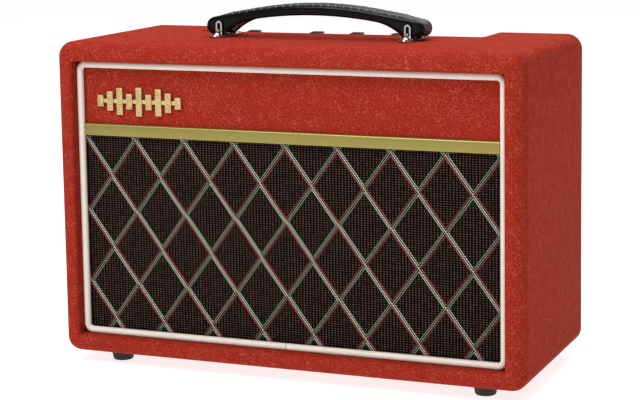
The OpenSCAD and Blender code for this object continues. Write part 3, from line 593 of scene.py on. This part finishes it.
for i, rise in enumerate(bar_rise):
    left, half = emblem_low.x + i * bar_step, rise / 2000
    bar = block("bar", (left, emblem_low.y, emblem_z - half), (left + bar_w, emblem_high.y, emblem_z + half))
    pick(bar, "FACE", lambda at, way: way.y < -0.9)
    bpy.ops.mesh.inset(thickness=bar_rim, depth=0)
    bpy.ops.mesh.extrude_region_move(TRANSFORM_OT_translate={"value": (0, bar_sunk, 0)})
    bed_low, bed_y = emblem_z - half + bar_rim, emblem_low.y + bar_sunk - 0.0001
    for step in range(1, int((2 * half - 2 * bar_rim) / rib)):
        pick(bar, "FACE", lambda at, way: way.y < -0.9 and at.y > bed_y)
        bpy.ops.mesh.bisect(plane_co=(0, 0, bed_low + step * rib), plane_no=(0, 0, 1))
    pick(bar, "FACE", lambda at, way: way.y < -0.9 and at.y > bed_y
         and int((at.z - bed_low) / rib) % 2 == 0)
    bpy.ops.mesh.extrude_region_move(TRANSFORM_OT_translate={"value": (0, -rib_rise, 0)})
    set_aside()
    bars.append(bar)
bars.append(block("rail", (emblem_low.x + bar_w / 2, emblem_low.y + rail_back, emblem_z - rail_half),
                  (emblem_high.x - bar_w / 2, emblem_high.y, emblem_z + rail_half)))
emblem = joined(bars, "gilded_emblem")
break_edges(emblem, 0.00018, 2)
give(emblem, gilding, replaces=["badge"])

# Piping. Cream vinyl cord, laid once round the opening in front of the panel and cloth, with
# rounded corners. Its ends butt together at the middle of the bottom run.
piping_low, piping_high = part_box("piping")
bead = (piping_high.y - piping_low.y) / 2
bead_turn = 0.005
butt_gap = 0.00015
cream = new_material("cream_vinyl_cord")
place = add(cream, "TexCoord").outputs["Object"]
soil = add(cream, "TexNoise", {"Vector": place, "Scale": 1 / 0.015, "Detail": 3.0})
tone = add(cream, "Mix", {"Factor": soil, "A": linear("dccfc2"), "B": linear("eae0d6")}, data_type="RGBA")
fine = add(cream, "TexNoise", {"Vector": place, "Scale": 1 / 0.0012, "Detail": 2.0})
matted = add(cream, "Bump", {"Height": fine, "Strength": 0.3, "Distance": 0.00005})
cord_skin = add(cream, "BsdfPrincipled", {"Base Color": tone, "Roughness": 0.45, "Normal": matted})
add(cream, "OutputMaterial", {"Surface": cord_skin})
run_x = piping_high.x - bead - bead_turn
run_low, run_high = piping_low.z + bead + bead_turn, piping_high.z - bead - bead_turn
bead_y = (piping_low.y + piping_high.y) / 2
set_aside()
bpy.ops.mesh.primitive_circle_add(vertices=24, radius=bead, fill_type="NOTHING",
                                  location=(butt_gap, bead_y, run_low - bead_turn),
                                  rotation=(0, math.radians(90), 0))
piping = named("cream_piping")
bpy.ops.mesh.select_mode(type="VERT")
bpy.ops.mesh.select_all(action="SELECT")
for run, corner in (((run_x - butt_gap, 0, 0), (run_x, bead_y, run_low)),
                    ((0, 0, run_high - run_low), (run_x, bead_y, run_high)),
                    ((-2 * run_x, 0, 0), (-run_x, bead_y, run_high)),
                    ((0, 0, run_low - run_high), (-run_x, bead_y, run_low)),
                    ((run_x - butt_gap, 0, 0), None)):
    bpy.ops.mesh.extrude_region_move(TRANSFORM_OT_translate={"value": run})
    if corner:
        bpy.ops.mesh.spin(steps=8, angle=math.radians(90), center=corner, axis=(0, 1, 0))
bpy.ops.mesh.select_all(action="SELECT")
bpy.ops.mesh.remove_doubles(threshold=0.00001)
bpy.ops.mesh.fill_holes(sides=0)
bpy.ops.mesh.normals_make_consistent(inside=False)
break_edges(piping, 0.0002, 2)
give(piping, cream, replaces=["piping"])

# Chassis and electronics. A galvanised steel tray hangs under the control panel: a printed board
# on brass pillars, a power chip bolted to a finned heat sink, three capacitors in shrink sleeve
# and a small transformer wound in yellow tape.
# Galvanised sheet: grey metal with a coarse spangle.
galvanised = speckled("galvanised_sheet", "8f9498", "b9bdc0", 0.0120, 0.35, 1.0, rise=0.00001)
# Solder resist over copper tracks: a deep green gloss.
resist = speckled("green_solder_resist", "0d3b1f", "17552d", 0.0025, 0.25)
# Turned brass: warm yellow metal.
brass = speckled("turned_brass", "b08d3e", "cfae5c", 0.0010, 0.25, 1.0, rise=0.000005)
# Black anodised aluminium: a dark satin.
black_anodised = speckled("black_anodised_aluminium", "1b1c1e", "2a2b2e", 0.0008, 0.4, 0.6)
# Moulded epoxy: matt black with a fine tooth.
epoxy = speckled("moulded_epoxy", "121212", "1c1c1c", 0.0004, 0.55)
# Shrink sleeve: dark blue and shiny.
sleeve = speckled("shrink_sleeve", "10193d", "1b2856", 0.0030, 0.28)
# Varnished silicon steel stampings: brownish grey.
stampings = speckled("varnished_steel_stampings", "3c3a37", "575451", 0.0007, 0.4, 0.7)
# Polyester winding tape: yellow film over the wire's ridges.
tape = speckled("polyester_winding_tape", "b58a1e", "d9ad3a", 0.0015, 0.3, rise=0.0001)
# Moulded nylon and ABS: black, with a fine spark texture.
black_abs = speckled("spark_textured_abs", "131313", "1f1f1f", 0.0005, 0.48)
# Nickel plate: a warm bright metal.
nickel = speckled("nickel_plate", "c0bcb2", "dcd9d0", 0.0030, 0.2, 1.0, rise=0.000004)
dress("chassis", galvanised)
dress("circuit_board", resist)
dress("board_standoffs", brass)
dress("heat_sink", black_anodised)
dress("amplifier_chip", epoxy)
dress("main_capacitors", sleeve)
dress("transformer_core", stampings)
dress("transformer_coil", tape)
dress("overdrive_switch", black_abs)
dress("pots gain_shaft treble_shaft bass_shaft volume_shaft", nickel)


def softened(node, name, width, material, body="cabinet", segments=2):
    """Copies a machined part, welds the copy's loose facets into whole faces, and rounds its edges."""
    set_aside()
    copy = bpy.data.objects.new(name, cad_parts[node].data.copy())
    bpy.context.scene.collection.objects.link(copy)
    copy.data.materials.clear()
    take_up(copy, "EDIT")
    bpy.ops.mesh.select_all(action="SELECT")
    bpy.ops.mesh.remove_doubles(threshold=0.000004)
    bpy.ops.mesh.dissolve_limited(angle_limit=math.radians(1.0))
    break_edges(copy, width, segments)
    give(copy, material, body, [node])
    return copy


softened("mains_inlet", "mains_inlet_socket", 0.0003, black_abs)

# Control panel. A steel plate in black enamel, with white printed scales round the knobs: eleven
# ticks from 0 to 10 over 300 degrees, and the numbers outside them.
softened("control_panel", "control_plate", 0.0003, enamel)
plate_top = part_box("control_panel")[1].z
control_y = sum(corner.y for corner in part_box("gain_shaft")) / 2
dials = {name: sum(corner.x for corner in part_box(name + "_shaft")) / 2
         for name in ("gain", "treble", "bass", "volume")}
print_t = 0.00006
tick_r, number_r = 0.0102, 0.0150
tick_size = (0.0018, 0.00035, print_t)
number_size = 0.0034
scale_start, scale_step = 240, 30
# Screen-printed ink: flat white with a slightly uneven edge of tone.
ink = speckled("white_screen_ink", "d9d9d4", "ecece8", 0.0006, 0.6)
marks = []
for dial_x in dials.values():
    for number in range(11):
        turn = math.radians(scale_start - scale_step * number)
        out = Vector((math.cos(turn), math.sin(turn), 0))
        middle = Vector((dial_x, control_y, plate_top + print_t / 2))
        set_aside()
        bpy.ops.mesh.primitive_cube_add(size=1, location=middle + out * tick_r, rotation=(0, 0, turn))
        bpy.context.object.scale = tick_size
        marks.append(named("tick"))
        set_aside()
        bpy.ops.object.text_add(location=middle + out * number_r - Vector((0, 0, print_t / 2)))
        figure_text = bpy.context.object
        figure_text.data.body = str(number)
        figure_text.data.size = number_size
        figure_text.data.extrude = print_t / 2
        figure_text.data.align_x = figure_text.data.align_y = "CENTER"
        bpy.ops.object.convert(target="MESH")
        marks.append(named("number"))
printing = joined(marks, "dial_scales")
give(printing, ink)

# Jacks, nuts and switches. Moulded jacks and a push switch come up through the plate; the jacks
# and potentiometers are held by nickelled hexagon nuts on washers.
softened("pot_nuts", "potentiometer_nuts", 0.0002, nickel)
softened("jack_nuts", "jack_ring_nuts", 0.0002, nickel)
softened("input_jack", "input_socket_body", 0.0002, black_abs)
softened("phones_jack", "phones_socket_body", 0.0002, black_abs)
softened("power_switch_housing", "power_switch_frame", 0.0003, black_abs)
softened("power_rocker", "power_switch_rocker", 0.0004, black_abs, "power_lever")
softened("led_bezel", "light_bezel", 0.0002, nickel)
# Urea push button: pale and slightly yellow.
urea = speckled("urea_button", "c9c4b4", "d8d4c8", 0.0015, 0.35)
softened("overdrive_button", "overdrive_push_button", 0.0004, urea, "overdrive_plunger", 3)
# Tinted epoxy lens: clear red, with a faint glow from the chip.
lens = new_material("red_epoxy_lens")
body_noise = add(lens, "TexNoise", {"Vector": add(lens, "TexCoord").outputs["Object"], "Scale": 1 / 0.002})
lens_red = add(lens, "Mix", {"Factor": body_noise, "A": linear("a00d08"), "B": linear("d0160e")},
               data_type="RGBA")
lens_face = add(lens, "BsdfPrincipled", {"Base Color": lens_red, "Roughness": 0.12,
                                         "Emission Color": linear("ff2010"), "Emission Strength": 0.6})
add(lens, "OutputMaterial", {"Surface": lens_face})
dress("power_led", lens)

# Knobs. Moulded pointer knobs in black phenolic: a fluted skirt under a tapered bar, with a white
# line filled in along the bar's ridge. Each presses onto its shaft and turns with it.
knob_low, knob_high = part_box("gain_knob")
skirt_r = 0.008
skirt_h = 0.007
skirt_taper = 0.92
flutes = 24
flute_depth = 0.96
dish_rim, dish_rise = 0.0012, 0.0006
hollow_wall, hollow_deep = 0.0014, 0.0052
bar_tail, bar_tip, bar_half = 0.0076, 0.013, 0.0031
bar_clear = 0.0004
bar_shoulders = (0.001, 0.004)
shoulder_drop, tip_drop = 0.0014, 0.0088
tip_narrow = 0.36
line_half = 0.00035
line_back, line_drop, line_thick = 0.0022, 0.0059, 0.0025
line_inset = 0.0001
phenolic_black = speckled("black_phenolic_moulding", "211d1d", "352f2e", 0.0012, 0.34)
for name, dial_x in dials.items():
    set_aside()
    bpy.ops.mesh.primitive_cylinder_add(vertices=2 * flutes, radius=skirt_r, depth=skirt_h,
                                        location=(dial_x, control_y, knob_low.z + skirt_h / 2))
    skirt = named("skirt")
    foot_of_knob = (dial_x, control_y, knob_low.z)
    pick(skirt, "VERT", lambda at, way:
         round(math.atan2(at.y - control_y, at.x - dial_x) / math.pi * flutes) % 2)
    bpy.ops.transform.resize(value=(flute_depth, flute_depth, 1), center_override=foot_of_knob)
    pick(skirt, "FACE", lambda at, way: way.z > 0.9)
    bpy.ops.transform.resize(value=(skirt_taper, skirt_taper, 1), center_override=foot_of_knob)
    bpy.ops.mesh.inset(thickness=dish_rim, depth=0)
    bpy.ops.transform.translate(value=(0, 0, dish_rise))
    pick(skirt, "FACE", lambda at, way: way.z < -0.9)
    bpy.ops.mesh.inset(thickness=hollow_wall, depth=0)
    bpy.ops.mesh.extrude_region_move(TRANSFORM_OT_translate={"value": (0, 0, hollow_deep)})
    tip_x = dial_x - bar_tip
    bar = block("pointer", (tip_x, control_y - bar_half, knob_low.z + bar_clear),
                (dial_x + bar_tail, control_y + bar_half, knob_high.z))
    for shoulder in bar_shoulders:
        score((dial_x - shoulder, 0, 0), (1, 0, 0))
    pick(bar, "VERT", lambda at, way: at.x < tip_x + a_hair)
    bpy.ops.transform.resize(value=(1, tip_narrow, 1), center_override=(tip_x, control_y, knob_low.z))
    for ahead, drop in ((bar_tip, tip_drop), (bar_shoulders[1], shoulder_drop)):
        pick(bar, "VERT", lambda at, way: abs(at.x - dial_x + ahead) < a_hair
             and at.z > knob_high.z - a_hair)
        bpy.ops.transform.translate(value=(0, 0, -drop))
    pick(bar, "FACE", lambda at, way: way.z < -0.9)
    bpy.ops.mesh.delete(type="FACE")
    bpy.ops.mesh.select_all(action="SELECT")
    bpy.ops.mesh.fill_holes(sides=0)
    bpy.ops.mesh.normals_make_consistent(inside=False)
    break_edges(bar, 0.0006, 3)
    break_edges(skirt, 0.0003, 2)
    knob = joined([skirt, bar], name + "_pointer_knob")
    give(knob, phenolic_black, name + "_dial", [name + "_knob"])
    ridge = block(name + "_pointer_line",
                  (tip_x + line_back, control_y - line_half, knob_high.z - line_inset - line_thick),
                  (dial_x + bar_shoulders[0], control_y + line_half, knob_high.z - line_inset))
    pick(ridge, "VERT", lambda at, way: at.x < dial_x - bar_shoulders[1])
    bpy.ops.transform.translate(value=(0, 0, -line_drop))
    break_edges(ridge, 0.0001, 2)
    give(ridge, ink, name + "_dial")

# Back panel. A board wrapped in the same vinyl, screwed to battens inside the box, with a long
# slot for the speaker's air and a cut-out for the rear of the chassis.
softened("back_panel", "vinyl_back_panel", 0.0012, vinyl, segments=3)

# Feet. Four turned rubber feet, tapered, each with a round-edged sole and a counterbored screw.
foot_low, foot_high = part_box("rubber_feet")
foot_r, sole_r = 0.0098, 0.0078
bore_r, bore_deep = 0.0044, 0.004
foot_x, foot_y = foot_high.x - foot_r, foot_high.y - foot_r
feet = []
for x in (-foot_x, foot_x):
    for y in (-foot_y, foot_y):
        set_aside()
        bpy.ops.mesh.primitive_cylinder_add(vertices=48, radius=foot_r, depth=foot_high.z - foot_low.z,
                                            location=(x, y, (foot_low.z + foot_high.z) / 2))
        foot = named("foot")
        pick(foot, "FACE", lambda at, way: way.z < -0.9)
        bpy.ops.transform.resize(value=(sole_r / foot_r, sole_r / foot_r, 1), center_override=(x, y, 0))
        bpy.ops.mesh.inset(thickness=sole_r - bore_r, depth=0)
        bpy.ops.mesh.extrude_region_move(TRANSFORM_OT_translate={"value": (0, 0, bore_deep)})
        set_aside()
        feet.append(foot)
feet = joined(feet, "turned_rubber_feet")
break_edges(feet, 0.0009, 3)
give(feet, rubber, replaces=["rubber_feet"])

# Handle brackets. Pressed steel in bright chrome: a floor plate with a screw at each end, and two
# slotted ears that the handle's pins ride up and down in.
chrome = new_material("bright_chrome_plate")
ripple = add(chrome, "TexNoise", {"Vector": add(chrome, "TexCoord").outputs["Object"], "Scale": 1 / 0.004})
mirror = add(chrome, "Mix", {"Factor": ripple, "A": linear("9c9a98"), "B": linear("b9b7b5")},
             data_type="RGBA")
waves = add(chrome, "Bump", {"Height": ripple, "Strength": 0.2, "Distance": 0.00003})
plate_skin = add(chrome, "BsdfPrincipled", {"Base Color": mirror, "Metallic": 1.0, "Roughness": 0.08,
                                            "Normal": waves})
add(chrome, "OutputMaterial", {"Surface": plate_skin})
softened("handle_brackets", "chrome_handle_brackets", 0.0003, chrome)
dress("bracket_screws handle_pins", chrome)

# Handle grip. One moulding in glossy black plastic over a steel strap: a raised rim along each
# upper edge, a shallow channel between for the inlay, and a fine groove below each rim.
grip_low, grip_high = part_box("handle_grip")
grip_y = (grip_low.y + grip_high.y) / 2
arc_r, arc_half, rim_fall = 0.300, 0.050, 1 / 6
end_r = 0.0068
end_x = grip_high.x - end_r
belly_r, belly_half, belly_drop = 0.330, 0.052, 0.0073
knee_x, knee_up, knee_fall = 0.070, 0.0064, 0.005
sweep_up = 0.0126
top_z = cabinet_high.z


def rim_z(x):
    """Height of the rim: an arc in the middle, straight falls to the ends."""
    arc = grip_high.z - (arc_r - math.sqrt(arc_r ** 2 - min(abs(x), arc_half) ** 2))
    return arc - max(abs(x) - arc_half, 0) * rim_fall


end_z = rim_z(end_x) - end_r * math.hypot(1, rim_fall)
sole_z = end_z - end_r


def lower_z(x):
    """Underside of the grip: an arc in the middle, then a quick sweep down to the foot of each end."""
    reach = abs(x)
    arc = grip_high.z - belly_drop - (belly_r - math.sqrt(belly_r ** 2 - min(reach, belly_half) ** 2))
    knee = top_z + knee_up
    if reach <= belly_half:
        return arc
    if reach < knee_x:
        t = (reach - belly_half) / (knee_x - belly_half)
        return (1 - t) ** 2 * arc + 2 * t * (1 - t) * (top_z + sweep_up) + t * t * knee
    return knee + (sole_z - knee) * min(1, (reach - knee_x) / knee_fall)


def side_outline(turn_stop, closed):
    """Points round the grip's side, from over its left end to over its right, then back underneath."""
    over_top = [Vector((i / 40 * end_x, rim_z(i / 40 * end_x))) for i in range(-40, 41)]
    turn = [math.radians(80 - 8 * i) for i in range(22)]
    turn = [a for a in turn if a >= turn_stop]
    right = [Vector((end_x + end_r * math.cos(a), end_z + end_r * math.sin(a))) for a in turn]
    left = [Vector((-point.x, point.y)) for point in reversed(right)]
    under = [Vector((x, lower_z(x))) for x in (end_x - i / 60 * 2 * end_x for i in range(60))]
    return left + over_top + right + (under if closed else [])


def swept(name, outline, section, closed):
    """Skins a section over an outline: each row of it is the outline, moved out and to one side."""
    count = len(outline)
    away = []
    for i, point in enumerate(outline):
        before = outline[i - 1] if closed or i else point
        after = outline[(i + 1) % count] if closed or i < count - 1 else point
        along = (after - before).normalized()
        away.append(Vector((-along.y, along.x)))
    set_aside()
    bpy.ops.mesh.primitive_grid_add(x_subdivisions=count - 1, y_subdivisions=len(section) - 1, size=2)
    piece = named(name)
    take_up(piece)
    for point in piece.data.vertices:
        i = round((point.co.x + 1) / 2 * (count - 1))
        y, out = section[round((point.co.y + 1) / 2 * (len(section) - 1))]
        at = outline[i] + away[i] * out / 1000
        point.co = (at.x, grip_y + y / 1000, at.y)
    take_up(piece, "EDIT")
    if closed:
        bpy.ops.mesh.select_mode(type="EDGE")
        bpy.ops.mesh.select_all(action="DESELECT")
        mesh = bmesh.from_edit_mesh(piece.data)
        for edge in mesh.edges:
            edge.select_set(edge.is_boundary and abs(edge.verts[1].co.y - edge.verts[0].co.y) > a_hair)
        bmesh.update_edit_mesh(piece.data)
        bpy.ops.mesh.bridge_edge_loops()
    bpy.ops.mesh.select_mode(type="VERT")
    bpy.ops.mesh.select_all(action="SELECT")
    bpy.ops.mesh.remove_doubles(threshold=a_hair / 2)
    bpy.ops.mesh.fill_holes(sides=0)
    bpy.ops.mesh.normals_make_consistent(inside=False)
    return piece


# Across the grip, as distance from its middle and height out from its outline, in millimetres.
half_section = ((1.5, -0.8), (6.0, -0.8), (8.45, -0.8), (8.7, -0.25), (9.2, 0.0), (9.9, -0.05),
                (10.5, -0.45), (10.85, -1.0), (11.0, -1.7))
grip_section = [(-y, out) for y, out in reversed(half_section)] + list(half_section)
grip = swept("moulded_grip", side_outline(math.radians(-90), True), grip_section, True)
for side in (-1, 1):
    pick(grip, "FACE", lambda at, way: way.y * side > 0.99)
    for thickness, depth in ((0.0005, 0), (0.0003, -0.0004), (0.0004, 0), (0.0003, 0.0004)):
        bpy.ops.mesh.inset(thickness=thickness, depth=depth)
take_up(grip)
bpy.ops.object.shade_smooth_by_angle(angle=math.radians(40))
gloss_black = new_material("gloss_black_moulding")
place = add(gloss_black, "TexCoord").outputs["Object"]
flow = add(gloss_black, "TexNoise", {"Vector": place, "Scale": 1 / 0.010, "Detail": 3.0})
jet = add(gloss_black, "Mix", {"Factor": flow, "A": linear("070606"), "B": linear("0e0c0c")},
          data_type="RGBA")
scuff = add(gloss_black, "MapRange", {"Value": flow, "To Min": 0.12, "To Max": 0.20})
flowed = add(gloss_black, "Bump", {"Height": flow, "Strength": 0.2, "Distance": 0.0001})
moulded = add(gloss_black, "BsdfPrincipled", {"Base Color": jet, "Roughness": scuff, "Normal": flowed,
                                              "Specular IOR Level": 0.16})
add(gloss_black, "OutputMaterial", {"Surface": moulded})
give(grip, gloss_black, "carry_handle", ["handle_grip"])

# Handle inlay. A padded strip of grained leathercloth laid in the channel, crowned across its
# width, and whipped to the grip along both edges with grey thread.
inlay_half = 0.072
thin_over = 0.010
thinned = 0.7
least_out = -0.0007
hide = new_material("grained_inlay_leathercloth")
place = add(hide, "TexCoord").outputs["Object"]
lumps = add(hide, "TexVoronoi", {"Vector": place, "Scale": 1 / 0.0016}, feature="SMOOTH_F1")
# The hollows between the pebbles are painted darker than their tops: painted shade in the grain.
shade = add(hide, "Mix", {"Factor": lumps, "A": linear("31322e"), "B": linear("121312")}, data_type="RGBA")
grained = add(hide, "Bump", {"Height": lumps, "Strength": 1.0, "Distance": 0.0004}, invert=True)
hide_face = add(hide, "BsdfPrincipled", {"Base Color": shade, "Roughness": 0.5, "Normal": grained})
add(hide, "OutputMaterial", {"Surface": hide_face})
half_crown = ((8.4, -0.7), (8.4, 0.3), (8.25, 0.85), (7.7, 1.25), (6.6, 1.5), (5.0, 1.6), (3.2, 1.66),
              (1.6, 1.69))
crown = [(-y, out) for y, out in half_crown] + [(0, 1.7)] + [(y, out) for y, out in reversed(half_crown)]
crown.append(crown[0])
inlay = swept("padded_inlay", side_outline(math.radians(-40), False), crown, False)
take_up(inlay)
for point in inlay.data.vertices:
    beyond = max(0, abs(point.co.x) - inlay_half)
    if point.co.z > rim_z(0) or not beyond:
        continue
    thin = thinned * min(1, beyond / thin_over)
    surface = Vector((math.copysign(end_x, point.co.x), 0, end_z))
    if abs(point.co.x) < end_x:
        point.co.z -= max(0, point.co.z - rim_z(point.co.x)) * thin
    else:
        out = Vector((point.co.x, 0, point.co.z)) - surface
        short = out.normalized() * (end_r + max(least_out, (out.length - end_r) * (1 - thin)))
        point.co = surface + short + Vector((0, point.co.y, 0))
finish_with(inlay, "SUBSURF", levels=2, render_levels=2)
lumps_of_hide = bpy.data.textures.new("hide_lumps", "CLOUDS")
lumps_of_hide.noise_scale = 0.0022
lumps_of_hide.noise_depth = 1
finish_with(inlay, "DISPLACE", texture=lumps_of_hide, texture_coords="LOCAL", strength=0.0006, mid_level=0.6)
bpy.ops.object.shade_smooth_by_angle(angle=math.radians(50))
give(inlay, hide, "carry_handle", ["handle_inlay"])

# Stitches of the inlay. Grey waxed thread, one short slanting stitch every 6.3 mm on each edge.
stitch_pitch = 0.0063
stitch_size = (0.0004, 0.0004, 0.0012)
stitch_y, stitch_up, stitch_slant = 0.0085, 0.0005, 0.35
# Waxed polyester thread: mid grey, with a little shine.
waxed = speckled("waxed_grey_thread", "8c8a84", "aaa8a0", 0.0004, 0.45)
stitches = []
count = int(inlay_half / stitch_pitch)
for number in range(-count, count + 1):
    x = number * stitch_pitch
    slope = math.atan2(rim_z(x - 0.001) - rim_z(x + 0.001), 0.002)
    for side in (-1, 1):
        set_aside()
        bpy.ops.mesh.primitive_uv_sphere_add(segments=10, ring_count=6, radius=1,
                                             location=(x, grip_y + side * stitch_y, rim_z(x) + stitch_up),
                                             rotation=(side * stitch_slant, slope + stitch_slant, 0))
        bpy.context.object.scale = stitch_size
        stitches.append(named("stitch"))
        set_aside()
stitching = joined(stitches, "inlay_stitches")
bpy.ops.object.shade_smooth()
give(stitching, waxed, "carry_handle")

# Floor, light and camera: a pale sheet of paper, soft boxes in front, above and behind, and a
# long lens a little above the handle, to the right of the front.
paper = new_material("pale_paper")
speckle = add(paper, "TexNoise", {"Vector": add(paper, "TexCoord").outputs["Object"], "Scale": 1 / 0.02})
shade = add(paper, "Mix", {"Factor": speckle, "A": linear("b8b8b8"), "B": linear("bcbcbc")},
            data_type="RGBA")
matt = add(paper, "BsdfPrincipled", {"Base Color": shade, "Roughness": 0.9, "Emission Color": (1, 1, 1, 1),
                                     "Emission Strength": 0.82})
add(paper, "OutputMaterial", {"Surface": matt})
set_aside()
bpy.ops.mesh.primitive_plane_add(size=40)
floor = named("floor")
set_aside()
floor.data.materials.append(paper)

world = bpy.data.worlds.new("studio")
bpy.context.scene.world = world
world.use_nodes = True
world.node_tree.nodes["Background"].inputs["Color"].default_value = (1, 1, 1, 1)
world.node_tree.nodes["Background"].inputs["Strength"].default_value = 0.25

for name, spot, size, watts in (("key_soft_box", (-0.45, -1.55, 1.95), 1.1, 40),
                                ("top_soft_box", (0.1, 0.35, 2.0), 1.4, 26),
                                ("back_soft_box", (0.3, 1.7, 1.5), 1.2, 12)):
    set_aside()
    bpy.ops.object.light_add(type="AREA", location=spot)
    lamp = bpy.context.object
    lamp.name = name
    lamp.data.size = size
    lamp.data.energy = watts
    aim = Vector((0, 0, 0.14)) - Vector(spot)
    lamp.rotation_euler = aim.to_track_quat("-Z", "Y").to_euler()

camera = bpy.data.objects.new("camera", bpy.data.cameras.new("camera"))
bpy.context.scene.collection.objects.link(camera)
camera.location = (0.5527, -1.3125, 0.3879)
camera.rotation_mode = "XYZ"
camera.rotation_euler = (math.radians(82.41), math.radians(0.761), math.radians(21.88))
camera.data.sensor_width = 36
camera.data.lens = 103.1
camera.data.shift_x = -0.0417
camera.data.shift_y = -0.138
bpy.context.scene.camera = camera
bpy.context.scene.view_settings.view_transform = "Standard"
